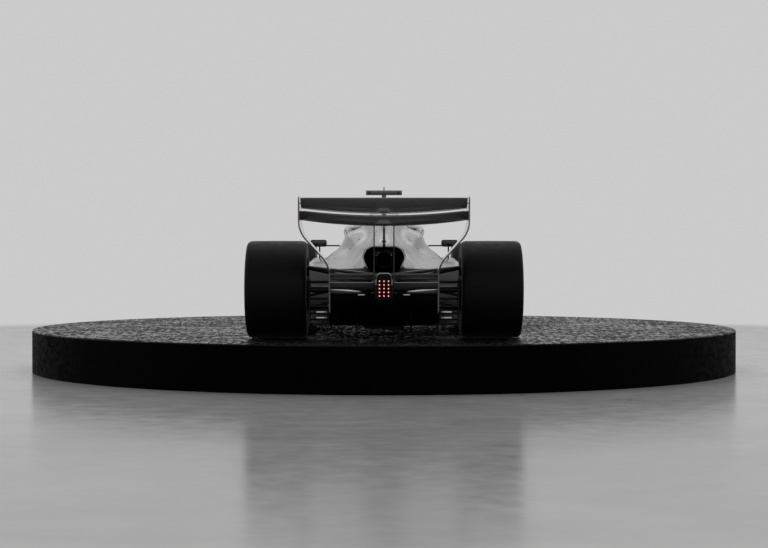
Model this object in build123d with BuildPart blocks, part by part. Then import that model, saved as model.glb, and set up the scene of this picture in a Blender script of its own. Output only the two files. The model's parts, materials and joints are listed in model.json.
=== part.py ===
"""Open wheel racing car, front and rear wings, halo and covered tail, on a round display plinth.

Millimetres. X to the car's right, Y forward, Z up; the origin is the middle of the plinth's underside.
Heights in the tables are above the plinth top, which the tyres stand on.
"""
import os

from build123d import *

os.makedirs("parts", exist_ok=True)

# Plinth
PLINTH_RADIUS = 2890.0
PLINTH_HEIGHT = 335.0
PLINTH_EDGE = 8.0

# Wheels and axles
WHEELBASE = 3600.0
REAR_AXLE_Y = -1850.0
OVERALL_WIDTH = 2000.0
TYRE_RADIUS = 355.0
TYRE_GAP = 0.3
FRONT_TYRE_WIDTH = 370.0
REAR_TYRE_WIDTH = 445.0
TYRE_SHOULDER = 16.0
RIM_RADIUS = 229.0
RIM_WALL = 11.0
RIM_INSET = 15.0
SPOKE_INSET = 45.0
SPOKE_DEPTH = 14.0
SPOKE_COUNT = 10
SPOKE_WINDOW_INNER = 85.0
SPOKE_WINDOW_OUTER = 205.0
SPOKE_WINDOW_ROOT = 22.0
SPOKE_WINDOW_TIP = 84.0
HUB_RADIUS = 62.0
HUB_LENGTH = 60.0
NUT_RADIUS = 40.0
NUT_LENGTH = 26.0
SHAFT_RADIUS = 26.0
RUN_CLEARANCE = 0.1
MOVING_GAP = 6.0

# Brake drums and uprights
DRUM_RADIUS = 205.0
FRONT_DRUM_BACK = 70.0
REAR_DRUM_BACK = 180.0
KINGPIN_X = 655.0
KINGPIN_RADIUS = 9.0
EYE_RADIUS = 20.0
EYE_HEIGHT = 24.0
EYE_LEVEL = 130.0
LUG_THICKNESS = 14.0
LUG_GAP = 1.0
POST_INSET = 25.0
POST_WIDTH = 90.0
STEER_ARM = 120.0
STEER_ARM_LEVEL = 60.0
STEER_ARM_THICKNESS = 12.0
STEER_ARM_WIDTH = 50.0
RACK_RADIUS = 9.0
RACK_TAB_RADIUS = 20.0
RACK_TAB_HEIGHT = 18.0
RACK_TAB_GAP = 2.0
RACK_PIN_RADIUS = 5.0
RACK_DRIFT = 7.0
SCOOP_LENGTH = 90.0
SCOOP_HEIGHT = 120.0
SCOOP_AHEAD = 60.0
SCOOP_REACH = 115.0
SCOOP_WALL = 8.0
SCOOP_DEPTH = 70.0

# Rear drum winglets
WINGLET_INNER_X = 392.0
WINGLET_OUTER_X = 540.0
WINGLET_FENCE = 6.0
WINGLET_THICKNESS = 7.0
WINGLET_FRONT = 40.0
WINGLET_BACK = 215.0
WINGLET_RISE = 16.0
WINGLET_LEVELS = (130.0, 175.0, 220.0, 280.0, 340.0, 400.0)
WINGLET_FENCE_BOTTOM = 100.0
WINGLET_FENCE_TOP = 430.0
WINGLET_FOOT_X = (413.0, 444.0)
WINGLET_FOOT_LEVEL = 50.0
DUCT_OUTER = 95.0
DUCT_INNER = 60.0

# Floor, plank and diffuser
FLOOR_LEVEL = 75.0
FLOOR_THICKNESS = 15.0
FLOOR_TOP = FLOOR_LEVEL + FLOOR_THICKNESS
FLOOR_END_Y = -1500.0
FLOOR_END_HALF = 345.0
FLOOR_CORNER = 30.0
FLOOR_TABLE = (
    (130.0, 1000.0), (300.0, 790.0), (740.0, 600.0), (800.0, 420.0), (800.0, -1150.0), (640.0, -1360.0),
)
PLANK_HALF = 150.0
PLANK_THICKNESS = 25.0
PLANK_FRONT_Y = 960.0
PLANK_REAR_Y = -1480.0
PLANK_LEAD = 60.0
DIFFUSER_END_Y = -2300.0
DIFFUSER_END_LEVEL = 322.0
DIFFUSER_MID_Y = -1930.0
DIFFUSER_MID_LEVEL = 150.0
DIFFUSER_NECK_Y = -1640.0
DIFFUSER_NECK_END_Y = -1790.0
FENCE_THICKNESS = 8.0
FENCE_LEVEL = 62.0
FENCE_FRONT_Y = -1800.0
# Diffuser fences: outer face, then place and level where the lower edge kicks up
DIFFUSER_FENCES = ((390.0, -1950.0, 136.0), (198.0, -2235.0, 112.0))
# Floor fences: place across, front end
FLOOR_FENCES = ((400.0, 700.0), (520.0, 640.0), (640.0, 600.0))
FLOOR_FENCE_LENGTH = 260.0
FLOOR_FENCE_DROP = 38.0

# Safety cell: station, then half widths and levels of the top, side and bottom corners
CELL_FRONT = (1650.0, 120.0, 560.0, 165.0, 460.0, 120.0, 300.0)
CELL_TABLE = (
    CELL_FRONT,
    (1150.0, 150.0, 622.0, 225.0, 470.0, 150.0, 205.0),
    (650.0, 200.0, 645.0, 285.0, 460.0, 200.0, 112.0),
    (150.0, 245.0, 655.0, 325.0, 470.0, 250.0, FLOOR_TOP),
    (-600.0, 235.0, 600.0, 310.0, 450.0, 240.0, FLOOR_TOP),
)
CELL_CORNER = 40.0
NOSE_TABLE = (
    CELL_FRONT,
    (2180.0, 98.0, 430.0, 128.0, 345.0, 98.0, 235.0),
    (2640.0, 72.0, 268.0, 96.0, 215.0, 72.0, 148.0),
    (2815.0, 50.0, 205.0, 66.0, 176.0, 50.0, 138.0),
    (2850.0, 42.0, 190.0, 50.0, 170.0, 42.0, 146.0),
)
NOSE_CORNER = 14.0

# Cockpit
COCKPIT_REAR_Y = -80.0
COCKPIT_FRONT_Y = 840.0
COCKPIT_REAR_HALF = 205.0
COCKPIT_FRONT_HALF = 165.0
COCKPIT_CORNER = 90.0
COCKPIT_DEPTH = 230.0
COCKPIT_TOP = 720.0
FOOTWELL_TABLE = (
    (-80.0, 195.0, 600.0, 195.0, 140.0),
    (700.0, 180.0, 575.0, 165.0, 170.0),
    (1450.0, 105.0, 500.0, 95.0, 345.0),
)
FOOTWELL_CORNER = 30.0
DASH_Y = 900.0
DASH_THICKNESS = 25.0
DASH_HALF = 150.0
DASH_BOTTOM = 455.0
DASH_TOP = 590.0
SEAT_HALF = 165.0
SEAT_OUTLINE = (
    (620.0, 300.0), (240.0, 175.0), (-55.0, 545.0), (-30.0, 580.0), (262.0, 222.0), (606.0, 335.0),
)
SEAT_CORNER = 10.0
SEAT_BASE_HALF = 110.0
SEAT_BASE_Y = 250.0
SEAT_BASE_LENGTH = 160.0
SEAT_BASE_TOP = 195.0
SEAT_BASE_BOTTOM = 110.0
HEADREST_HALF = 218.0
HEADREST_INNER_HALF = 170.0
HEADREST_REAR_Y = -128.0
HEADREST_FRONT_Y = 320.0
HEADREST_PAD = 70.0
HEADREST_TOP = 722.0
HEADREST_BOTTOM = 618.0
# Headrest cheeks beside the airbox: place across, level
CHEEK_OUTLINE = ((160.0, 700.0), (275.0, 700.0), (275.0, 800.0), (165.0, 842.0))
CHEEK_LENGTH = 60.0

# Steering wheel
WHEEL_Y = 600.0
WHEEL_LEVEL = 545.0
WHEEL_WIDTH = 270.0
WHEEL_HEIGHT = 150.0
WHEEL_DEPTH = 34.0
WHEEL_CORNER = 32.0
GRIP_HEIGHT = 84.0
GRIP_INSET = 12.0
COLUMN_RADIUS = 14.0
COLUMN_END_Y = 980.0

# Tail cover: station, then half width and level of the spine, neck, shoulder, waist, edge and lower edge
COVER_TABLE = (
    (-90.0, (88.0, 948.0), (138.0, 826.0), (262.0, 752.0), (322.0, 668.0), (430.0, 578.0), (430.0, 530.0)),
    (-170.0, (112.0, 962.0), (162.0, 838.0), (300.0, 778.0), (348.0, 678.0), (458.0, 582.0), (458.0, 526.0)),
    (-600.0, (66.0, 905.0), (122.0, 785.0), (232.0, 712.0), (300.0, 620.0), (470.0, 550.0), (470.0, 490.0)),
    (-1050.0, (46.0, 815.0), (88.0, 716.0), (176.0, 640.0), (255.0, 555.0), (428.0, 496.0), (428.0, 430.0)),
    (-1500.0, (54.0, 735.0), (92.0, 672.0), (158.0, 600.0), (202.0, 520.0), (272.0, 450.0), (264.0, 390.0)),
    (-1880.0, (96.0, 674.0), (138.0, 652.0), (166.0, 600.0), (130.0, 520.0), (86.0, 478.0), (78.0, 455.0)),
)
# Corner radii of the spine, neck, shoulder and waist at each station
COVER_RADII = (
    (70.0, 80.0, 100.0, 150.0),
    (85.0, 80.0, 70.0, 150.0),
    (48.0, 150.0, 120.0, 180.0),
    (36.0, 150.0, 120.0, 180.0),
    (44.0, 140.0, 120.0, 140.0),
    (40.0, 40.0, 60.0, 60.0),
)
COVER_WALL = 8.0
COVER_FRONT_WALL = 16.0
AIRBOX_WIDTH = 150.0
AIRBOX_HEIGHT = 96.0
AIRBOX_LEVEL = 876.0
AIRBOX_CORNER = 42.0
FIN_THICKNESS = 16.0
FIN_CORNER = 10.0
FIN_OUTLINE = (
    (-700.0, 860.0), (-1000.0, 850.0), (-1900.0, 842.0), (-1960.0, 800.0), (-1960.0, 690.0), (-1860.0, 640.0),
    (-1500.0, 700.0), (-1050.0, 780.0), (-700.0, 840.0),
)
FIN_FOOT_WIDTH = 38.0
FIN_FOOT_TOP = 712.0
FIN_FOOT_BOTTOM = 676.0
FIN_FOOT_LENGTH = 70.0

# Sidepods: station, inner edge, then the outline from the inner top corner round to the floor
POD_TABLE = (
    (430.0, (225, 590), (600, 578), (675, 505), (640, 405), (430, 300), (385, FLOOR_TOP), (225, FLOOR_TOP)),
    (0.0, (225, 600), (600, 560), (702, 488), (680, 380), (505, 245), (465, FLOOR_TOP), (225, FLOOR_TOP)),
    (-700.0, (225, 568), (560, 500), (692, 418), (682, 330), (585, 205), (565, FLOOR_TOP), (225, FLOOR_TOP)),
    (-1200.0, (150, 520), (410, 425), (570, 305), (566, 240), (535, 165), (525, FLOOR_TOP), (150, FLOOR_TOP)),
    (-1500.0, (100, 480), (255, 385), (355, 255), (353, 205), (342, 155), (338, FLOOR_TOP), (100, FLOOR_TOP)),
)
POD_RADII = (0.0, 50.0, 38.0, 30.0, 36.0, 0.0, 0.0)
INLET_INNER = 345.0
INLET_OUTER = 632.0
INLET_BOTTOM = 430.0
INLET_TOP = 552.0
INLET_CORNER = 30.0
INLET_DEPTH = 160.0

# Power unit, gearbox, tail structure
POWER_FRONT_Y = -600.0
POWER_REAR_Y = -1130.0
POWER_HALF = 230.0
POWER_TOP = 480.0
POWER_CHAMFER = 60.0
TAIL_JOIN = (-2050.0, 66.0, 470.0, 88.0, 400.0, 66.0, 292.0)
GEARBOX_TABLE = (
    (POWER_REAR_Y, 120.0, 440.0, 165.0, 330.0, 120.0, 120.0),
    (-1600.0, 95.0, 440.0, 120.0, 350.0, 85.0, 200.0),
    TAIL_JOIN,
)
TAIL_TABLE = (TAIL_JOIN, (-2578.0, 44.0, 486.0, 58.0, 430.0, 52.0, 298.0))
TAIL_CORNER = 22.0
OUTPUT_RADIUS = 52.0
OUTPUT_X = 190.0
OUTPUT_DEPTH = 60.0
SHAFT_SEAT = 30.0
EXHAUST_RADIUS = 58.0
EXHAUST_WALL = 3.0
EXHAUST_PATH = ((POWER_REAR_Y, 400.0), (-1320.0, 520.0), (-1500.0, 562.0), (-1860.0, 574.0))
EXHAUST_BEND = 150.0
LIGHT_HALF = 52.0
LIGHT_BOTTOM = 304.0
LIGHT_TOP = 478.0
LIGHT_DEPTH = 22.0
LIGHT_CORNER = 30.0
LAMP_RADIUS = 6.5
LAMP_DEPTH = 4.0
LAMP_COLUMNS = 3
LAMP_ROWS = 5
LAMP_COLUMN_PITCH = 31.0
LAMP_ROW_PITCH = 25.5
LAMP_LEVEL = 377.0

# Rear wing: place across, front edge, rear edge, lower and upper sag of the wing section
ENDPLATE_X = 587.0
ENDPLATE_LOW_X = 384.0
ENDPLATE_THICKNESS = 10.0
WING_TIP_X = ENDPLATE_X - ENDPLATE_THICKNESS / 2
WING_MAIN_TABLE = (
    (100.0, (-2190.0, 846.0), (-2455.0, 877.0), 48.0, 20.0),
    (WING_TIP_X, (-2190.0, 884.0), (-2455.0, 914.0), 44.0, 16.0),
)
WING_FLAP_TABLE = (
    (100.0, (-2428.0, 901.0), (-2600.0, 1000.0), 26.0, 8.0),
    (WING_TIP_X - MOVING_GAP, (-2428.0, 936.0), (-2600.0, 1000.0), 24.0, 7.0),
)
WING_EDGE = 4.0
WING_NOSE = 10.0
WING_DEEPEST = 0.45
FLAP_PIVOT_Y = -2552.0
FLAP_PIVOT_LEVEL = 966.0
FLAP_PIN_RADIUS = 4.0
FLAP_PIN_LENGTH = 24.0
ENDPLATE_PATH = ((ENDPLATE_X, 1012.0), (ENDPLATE_X, 767.0), (ENDPLATE_LOW_X, 535.0), (ENDPLATE_LOW_X, 180.0))
ENDPLATE_BENDS = (194.0, 183.0)
ENDPLATE_OUTLINE = (
    (-2120.0, 1012.0), (-2612.0, 1012.0), (-2612.0, 800.0), (-2470.0, 600.0),
    (-2345.0, 480.0), (-2296.0, 180.0), (-2150.0, 180.0), (-2120.0, 560.0),
)
ENDPLATE_CORNER = 30.0
WING_LAMP_BOTTOM = 850.0
WING_LAMP_TOP = 985.0
WING_LAMP_WIDTH = 5.0
WING_LAMP_DEPTH = 5.0
PYLON_X = 70.0
PYLON_THICKNESS = 8.0
PYLON_CORNER = 10.0
PYLON_OUTLINE = (
    (-2190.0, 410.0), (-2390.0, 410.0), (-2400.0, 560.0), (-2330.0, 700.0),
    (-2380.0, 841.0), (-2250.0, 825.0), (-2215.0, 640.0),
)
ACTUATOR_HALF = 24.0
ACTUATOR_CORNER = 8.0
ACTUATOR_OUTLINE = ((-2230.0, 825.0), (-2215.0, 862.0), (-2260.0, 873.0), (-2385.0, 873.0), (-2400.0, 850.0))
BEAM_HALF = ENDPLATE_LOW_X - ENDPLATE_THICKNESS / 2
BEAM_TABLE = (
    ((-2160.0, 438.0), (-2310.0, 474.0), 22.0, 8.0),
    ((-2150.0, 352.0), (-2300.0, 414.0), 22.0, 8.0),
)

# Front wing: place across, front edge, rear edge, lower and upper sag
FRONT_WING_HALF = 950.0
FRONT_MAIN_TABLE = (
    (0.0, (2850.0, 132.0), (2590.0, 126.0), 26.0, 6.0),
    (450.0, (2800.0, 90.0), (2550.0, 116.0), 26.0, 6.0),
    (FRONT_WING_HALF, (2680.0, 84.0), (2440.0, 112.0), 20.0, 4.0),
)
FLAP_ROOT_X = 45.0
FRONT_FLAP_TABLE = (
    ((2610.0, 150.0), (2500.0, 190.0), (2470.0, 128.0), (2385.0, 188.0)),
    ((2515.0, 208.0), (2405.0, 250.0), (2400.0, 204.0), (2315.0, 266.0)),
    ((2420.0, 268.0), (2315.0, 312.0), (2330.0, 282.0), (2250.0, 344.0)),
)
FRONT_FLAP_SAG = (17.0, 6.0)
FRONT_PLATE_THICKNESS = 10.0
FRONT_PLATE_OUTLINE = (
    (2740.0, 55.0), (2740.0, 130.0), (2600.0, 250.0), (2290.0, 362.0),
    (2238.0, 355.0), (2238.0, 290.0), (2380.0, 55.0),
)
FRONT_PLATE_CORNER = 20.0

# Halo, camera bar and mirrors
HALO_RADIUS = 25.0
HALO_REAR_Y = -70.0
HALO_REAR_LEVEL = 796.0
HALO_FRONT_Y = 800.0
HALO_FRONT_LEVEL = 850.0
HALO_PATH = ((-310.0, 0.0), (-318.0, 480.0), (-150.0, 872.0), (150.0, 872.0), (318.0, 480.0), (310.0, 0.0))
HALO_BENDS = (420.0, 150.0, 150.0, 420.0)
HALO_FOOT = (262.0, -190.0, 640.0)
HALO_PILLAR_FOOT = (0.0, 935.0, 590.0)
HALO_PILLAR_CHORD = 64.0
HALO_PILLAR_DEPTH = 26.0
CAMERA_Y = -190.0
CAMERA_LEVEL = 1117.0
CAMERA_HALF = 148.0
CAMERA_HEIGHT = 38.0
CAMERA_LENGTH = 90.0
CAMERA_STALK_HALF = 18.0
CAMERA_STALK_LENGTH = 70.0
CAMERA_FOOT = 900.0
AERIAL_RADIUS = 4.5
AERIAL_TOP = 1163.0
MIRROR_INNER = 490.0
MIRROR_OUTER = 632.0
MIRROR_BOTTOM = 672.0
MIRROR_TOP = 732.0
MIRROR_Y = 330.0
MIRROR_DEPTH = 60.0
MIRROR_GLASS = 8.0
MIRROR_CORNER = 18.0
MIRROR_RIM = 6.0
MIRROR_TAPER = 8.0
MIRROR_STAY = 12.0
MIRROR_STAY_X = 552.0
MIRROR_ARM_LEVEL = 688.0
MIRROR_ELBOW_X = 385.0
MIRROR_FOOT_X = 230.0
MIRROR_FOOT_LEVEL = 560.0
MIRROR_ARM_FOOT = 585.0

# Front wishbones: inner end as x, distance ahead of the axle and level; upper eye 1, lower eye -1
FRONT_LINK_CHORD = 52.0
FRONT_LINK_DEPTH = 18.0
FRONT_LINKS = (
    (130.0, 130.0, 505.0, 1),
    (130.0, -270.0, 540.0, 1),
    (100.0, 180.0, 300.0, -1),
    (120.0, -330.0, 270.0, -1),
)
PUSHROD_TOP_X = 130.0
PUSHROD_TOP = 520.0
PUSHROD_FOOT_X = 590.0
PUSHROD_FOOT = 240.0
PUSHROD_CHORD = 34.0
PUSHROD_DEPTH = 20.0

# Rear links: inner end as x, distance ahead of the axle, level; outer end ahead of the axle, above the hub
REAR_LINK_CHORD = 58.0
REAR_LINK_DEPTH = 24.0
REAR_LINK_SEAT = 40.0
REAR_LINKS = (
    (40.0, -140.0, 462.0, -30.0, 172.0),
    (60.0, 430.0, 400.0, 20.0, 172.0),
    (40.0, -160.0, 330.0, -30.0, -150.0),
    (60.0, 410.0, 250.0, 20.0, -150.0),
    (60.0, 290.0, 410.0, 80.0, -60.0),
)

# Values that follow from the sizes above
GROUND = PLINTH_HEIGHT
FRONT_AXLE_Y = REAR_AXLE_Y + WHEELBASE
HUB_Z = GROUND + TYRE_GAP + TYRE_RADIUS
FRONT_WHEEL_X = (OVERALL_WIDTH - FRONT_TYRE_WIDTH) / 2
REAR_WHEEL_X = (OVERALL_WIDTH - REAR_TYRE_WIDTH) / 2
RACK_Z = HUB_Z + STEER_ARM_LEVEL + RACK_TAB_GAP + RACK_TAB_HEIGHT / 2


def level(height):
    """Z of a height above the plinth top."""
    return GROUND + height


def whole(half):
    """Right half outline, top to bottom, closed by its mirror image."""
    return list(half) + [(-x, z) for x, z in reversed(half)]


def across(y, outline, radii):
    """Closed section across the car at station y with its corners rounded."""
    points = [(x, level(z)) for x, z in outline]
    with BuildSketch(Plane.XZ.offset(-y)) as section:
        with BuildLine():
            FilletPolyline(*points, radius=radii, close=True)
        make_face()
    return section.sketch


def six_corner(row, corner):
    """Body section with top, side and bottom corners from one table row."""
    y, top_x, top_z, side_x, side_z, low_x, low_z = row
    return across(y, whole([(top_x, top_z), (side_x, side_z), (low_x, low_z)]), [corner] * 6)


def cover_section(row, radii, inset, drop):
    """Tail cover section, drawn in from the outer skin by inset and its lower edge moved down by drop."""
    y, spine, neck, shoulder, waist, edge, low = row
    half = [(spine[0] - inset / 2, spine[1] - inset)]
    half += [(x - inset, z - inset / 2) for x, z in (neck, shoulder, waist)]
    half += [(edge[0] - inset, edge[1] - inset), (low[0] - inset, low[1] - drop)]
    corners = list(radii) + [0.0, 0.0]
    return across(y, whole(half), corners + corners[::-1])


def wing_section(x, front, rear, sag, sag_top):
    """Wing section across X from its front edge to its rear edge, hollow upward."""
    front_point = Vector(front[0], level(front[1]))
    rear_point = Vector(rear[0], level(rear[1]))
    chord = rear_point - front_point
    down = Vector(-chord.Y, chord.X).normalized()
    nose = chord.normalized() * (WING_NOSE / 2)
    middle = front_point + chord * WING_DEEPEST
    rear_low = rear_point + down * WING_EDGE / 2
    rear_top = rear_point - down * WING_EDGE / 2
    with BuildSketch(Plane.YZ.offset(x)) as section:
        with BuildLine():
            low = ThreePointArc(front_point + down * WING_NOSE / 2, middle + down * sag, rear_low)
            Line(low @ 1, rear_top)
            top = ThreePointArc(rear_top, middle + down * sag_top, front_point - down * WING_NOSE / 2)
            ThreePointArc(top @ 1, front_point - nose, low @ 0)
        make_face()
    return section.sketch


def side_face(x, outline, corner):
    """Plate outline seen from the side, on the plane across X."""
    points = [(y, level(z)) for y, z in outline]
    with BuildSketch(Plane.YZ.offset(x)) as face:
        with BuildLine():
            FilletPolyline(*points, radius=corner, close=True)
        make_face()
    return face.sketch


def link_plane(start, end):
    """Plane at a link's inner end, its normal along the link and its X lying flat."""
    axis = Vector(*end) - Vector(*start)
    return Plane(origin=start, x_dir=axis.cross(Vector(0, 0, 1)), z_dir=axis)


def save(builder, name):
    """Label a finished piece and write it."""
    builder.part.label = name
    export_step(builder.part, f"parts/{name}.step")


def save_pair(builder, name):
    """Write a piece built on the right, and its mirror image on the left."""
    save(builder, f"{name}_right")
    with BuildPart() as twin:
        mirror(builder.part, about=Plane.YZ)
    save(twin, f"{name}_left")


# Display plinth
with BuildPart() as plinth:
    with BuildSketch():
        Circle(PLINTH_RADIUS)
    extrude(amount=PLINTH_HEIGHT)
    chamfer(plinth.edges().group_by(Axis.Z)[-1], length=PLINTH_EDGE)
save(plinth, "display_plinth")

# Floor with its inlet fences
with BuildPart() as floor:
    with BuildSketch(Plane.XY.offset(level(FLOOR_LEVEL))):
        with BuildLine():
            plan = list(FLOOR_TABLE) + [(FLOOR_END_HALF, FLOOR_END_Y)]
            Polyline(*plan, *[(-x, y) for x, y in reversed(plan)], close=True)
        make_face()
    extrude(amount=FLOOR_THICKNESS)
    fillet(floor.edges().filter_by(Axis.Z).sort_by(Axis.Y)[2:], radius=FLOOR_CORNER)
    for x, y in FLOOR_FENCES:
        with Locations((x, y, level(FLOOR_LEVEL)), (-x, y, level(FLOOR_LEVEL))):
            Box(
                FENCE_THICKNESS,
                FLOOR_FENCE_LENGTH,
                FLOOR_FENCE_DROP,
                align=(Align.CENTER, Align.MAX, Align.MAX),
            )
save(floor, "floor_pan")

# Skid plank under the floor
with BuildPart() as plank:
    with BuildSketch(Plane.YZ):
        with BuildLine():
            Polyline(
                (PLANK_REAR_Y, level(FLOOR_LEVEL)),
                (PLANK_REAR_Y, level(FLOOR_LEVEL - PLANK_THICKNESS)),
                (PLANK_FRONT_Y - PLANK_LEAD, level(FLOOR_LEVEL - PLANK_THICKNESS)),
                (PLANK_FRONT_Y, level(FLOOR_LEVEL)),
                close=True,
            )
        make_face()
    extrude(amount=PLANK_HALF, both=True)
save(plank, "skid_plank")

# Diffuser roof and fences
with BuildPart() as diffuser:
    with BuildSketch(Plane.YZ):
        with BuildLine():
            under = ThreePointArc(
                (FLOOR_END_Y, level(FLOOR_LEVEL)),
                (DIFFUSER_MID_Y, level(DIFFUSER_MID_LEVEL)),
                (DIFFUSER_END_Y, level(DIFFUSER_END_LEVEL)),
            )
            Line(under @ 1, (DIFFUSER_END_Y, level(DIFFUSER_END_LEVEL + FLOOR_THICKNESS)))
            ThreePointArc(
                (DIFFUSER_END_Y, level(DIFFUSER_END_LEVEL + FLOOR_THICKNESS)),
                (DIFFUSER_MID_Y, level(DIFFUSER_MID_LEVEL + FLOOR_THICKNESS)),
                (FLOOR_END_Y, level(FLOOR_TOP)),
            )
            Line((FLOOR_END_Y, level(FLOOR_TOP)), under @ 0)
        make_face()
    extrude(amount=max(FLOOR_END_HALF, DIFFUSER_FENCES[0][0]), both=True)
    with BuildSketch(Plane.XY.offset(GROUND)):
        with BuildLine():
            plan = [
                (FLOOR_END_HALF, FLOOR_END_Y),
                (FLOOR_END_HALF, DIFFUSER_NECK_Y),
                (DIFFUSER_FENCES[0][0], DIFFUSER_NECK_END_Y),
                (DIFFUSER_FENCES[0][0], DIFFUSER_END_Y),
            ]
            Polyline(*plan, *[(-x, y) for x, y in reversed(plan)], close=True)
        make_face()
    extrude(amount=2 * DIFFUSER_END_LEVEL, mode=Mode.INTERSECT)
    for x, kick_y, kick_level in DIFFUSER_FENCES:
        for side in (-1, 1):
            with BuildSketch(Plane.YZ.offset(side * x)):
                with BuildLine():
                    root = ThreePointArc(
                        (FLOOR_END_Y, level(FLOOR_LEVEL + FLOOR_THICKNESS / 2)),
                        (DIFFUSER_MID_Y, level(DIFFUSER_MID_LEVEL + FLOOR_THICKNESS / 2)),
                        (DIFFUSER_END_Y, level(DIFFUSER_END_LEVEL + FLOOR_THICKNESS / 2)),
                    )
                    Polyline(
                        root @ 1,
                        (DIFFUSER_END_Y, level(kick_level)),
                        (kick_y, level(FENCE_LEVEL)),
                        (FLOOR_END_Y, level(FENCE_LEVEL)),
                        root @ 0,
                    )
                make_face()
                with Locations((FENCE_FRONT_Y, GROUND)):
                    Rectangle(
                        FLOOR_END_Y - FENCE_FRONT_Y,
                        DIFFUSER_END_LEVEL,
                        align=(Align.MIN, Align.MIN),
                        mode=Mode.SUBTRACT,
                    )
            extrude(amount=-side * FENCE_THICKNESS)
save(diffuser, "diffuser")

# Safety cell, hollow from the cockpit to the pedals, with the dash that carries the column
with BuildPart() as cell:
    loft([six_corner(row, CELL_CORNER) for row in CELL_TABLE])
    footwell = []
    for y, top_x, top_z, low_x, low_z in FOOTWELL_TABLE:
        footwell.append(across(y, whole([(top_x, top_z), (low_x, low_z)]), [FOOTWELL_CORNER] * 4))
    loft(footwell, mode=Mode.SUBTRACT)
    with BuildSketch(Plane.XY.offset(level(COCKPIT_TOP))):
        with BuildLine():
            FilletPolyline(
                (COCKPIT_REAR_HALF, COCKPIT_REAR_Y),
                (COCKPIT_FRONT_HALF, COCKPIT_FRONT_Y),
                (-COCKPIT_FRONT_HALF, COCKPIT_FRONT_Y),
                (-COCKPIT_REAR_HALF, COCKPIT_REAR_Y),
                radius=COCKPIT_CORNER,
                close=True,
            )
        make_face()
    extrude(amount=-COCKPIT_DEPTH, mode=Mode.SUBTRACT)
    with Locations((0, DASH_Y, level(DASH_BOTTOM))):
        Box(2 * DASH_HALF, DASH_THICKNESS, DASH_TOP - DASH_BOTTOM, align=(Align.CENTER, Align.MIN, Align.MIN))
    with BuildSketch(Plane.XZ.offset(-WHEEL_Y)):
        with Locations((0, level(WHEEL_LEVEL))):
            Circle(COLUMN_RADIUS + RUN_CLEARANCE)
    extrude(amount=-(COLUMN_END_Y + MOVING_GAP - WHEEL_Y), mode=Mode.SUBTRACT)
    with BuildSketch(Plane.YZ):
        with Locations((FRONT_AXLE_Y - STEER_ARM, RACK_Z)):
            Circle(RACK_RADIUS + RUN_CLEARANCE)
    extrude(amount=CELL_TABLE[3][3], both=True, mode=Mode.SUBTRACT)
    add(floor.part, mode=Mode.SUBTRACT)
save(cell, "safety_cell")

# Nose
with BuildPart() as nose:
    loft([six_corner(CELL_FRONT, CELL_CORNER)] + [six_corner(row, NOSE_CORNER) for row in NOSE_TABLE[1:]])
save(nose, "nose_cone")

# Seat
with BuildPart() as seat:
    extrude(side_face(0, SEAT_OUTLINE, SEAT_CORNER), amount=SEAT_HALF, both=True)
    with Locations((0, SEAT_BASE_Y, level(SEAT_BASE_BOTTOM))):
        Box(
            2 * SEAT_BASE_HALF,
            SEAT_BASE_LENGTH,
            SEAT_BASE_TOP - SEAT_BASE_BOTTOM,
            align=(Align.CENTER, Align.CENTER, Align.MIN),
        )
    add(cell.part, mode=Mode.SUBTRACT)
    add(floor.part, mode=Mode.SUBTRACT)
save(seat, "seat")

# Power unit block, gearbox with its output bosses, tail structure and rear light
with BuildPart() as power:
    with BuildSketch(Plane.XZ.offset(-POWER_REAR_Y)):
        with BuildLine():
            half = [
                (POWER_HALF - POWER_CHAMFER, level(POWER_TOP)),
                (POWER_HALF, level(POWER_TOP - POWER_CHAMFER)),
                (POWER_HALF, level(FLOOR_TOP)),
            ]
            Polyline(*whole(half), close=True)
        make_face()
    extrude(amount=POWER_REAR_Y - POWER_FRONT_Y)
save(power, "power_unit")

with BuildPart() as gearbox:
    loft([six_corner(row, TAIL_CORNER) for row in GEARBOX_TABLE])
    with BuildSketch(Plane.YZ):
        with Locations((REAR_AXLE_Y, HUB_Z)):
            Circle(OUTPUT_RADIUS)
    extrude(amount=OUTPUT_X, both=True)
    for side in (OUTPUT_X, -OUTPUT_X):
        with BuildSketch(Plane.YZ.offset(side)):
            with Locations((REAR_AXLE_Y, HUB_Z)):
                Circle(SHAFT_RADIUS + RUN_CLEARANCE)
        extrude(amount=-OUTPUT_DEPTH if side > 0 else OUTPUT_DEPTH, mode=Mode.SUBTRACT)
    add(diffuser.part, mode=Mode.SUBTRACT)
save(gearbox, "gearbox")

with BuildPart() as tail:
    loft([six_corner(row, TAIL_CORNER) for row in TAIL_TABLE])
    add(diffuser.part, mode=Mode.SUBTRACT)
save(tail, "tail_structure")

with BuildPart() as light:
    light_plane = Plane.XZ.offset(-TAIL_TABLE[-1][0])
    with BuildSketch(light_plane):
        with Locations((0, level((LIGHT_BOTTOM + LIGHT_TOP) / 2))):
            RectangleRounded(2 * LIGHT_HALF, LIGHT_TOP - LIGHT_BOTTOM, LIGHT_CORNER)
    extrude(amount=LIGHT_DEPTH)
    with BuildSketch(light_plane.offset(LIGHT_DEPTH)):
        with Locations((0, level(LAMP_LEVEL))):
            with GridLocations(LAMP_COLUMN_PITCH, LAMP_ROW_PITCH, LAMP_COLUMNS, LAMP_ROWS):
                RegularPolygon(LAMP_RADIUS, 8)
    extrude(amount=LAMP_DEPTH)
save(light, "rain_light")

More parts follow.
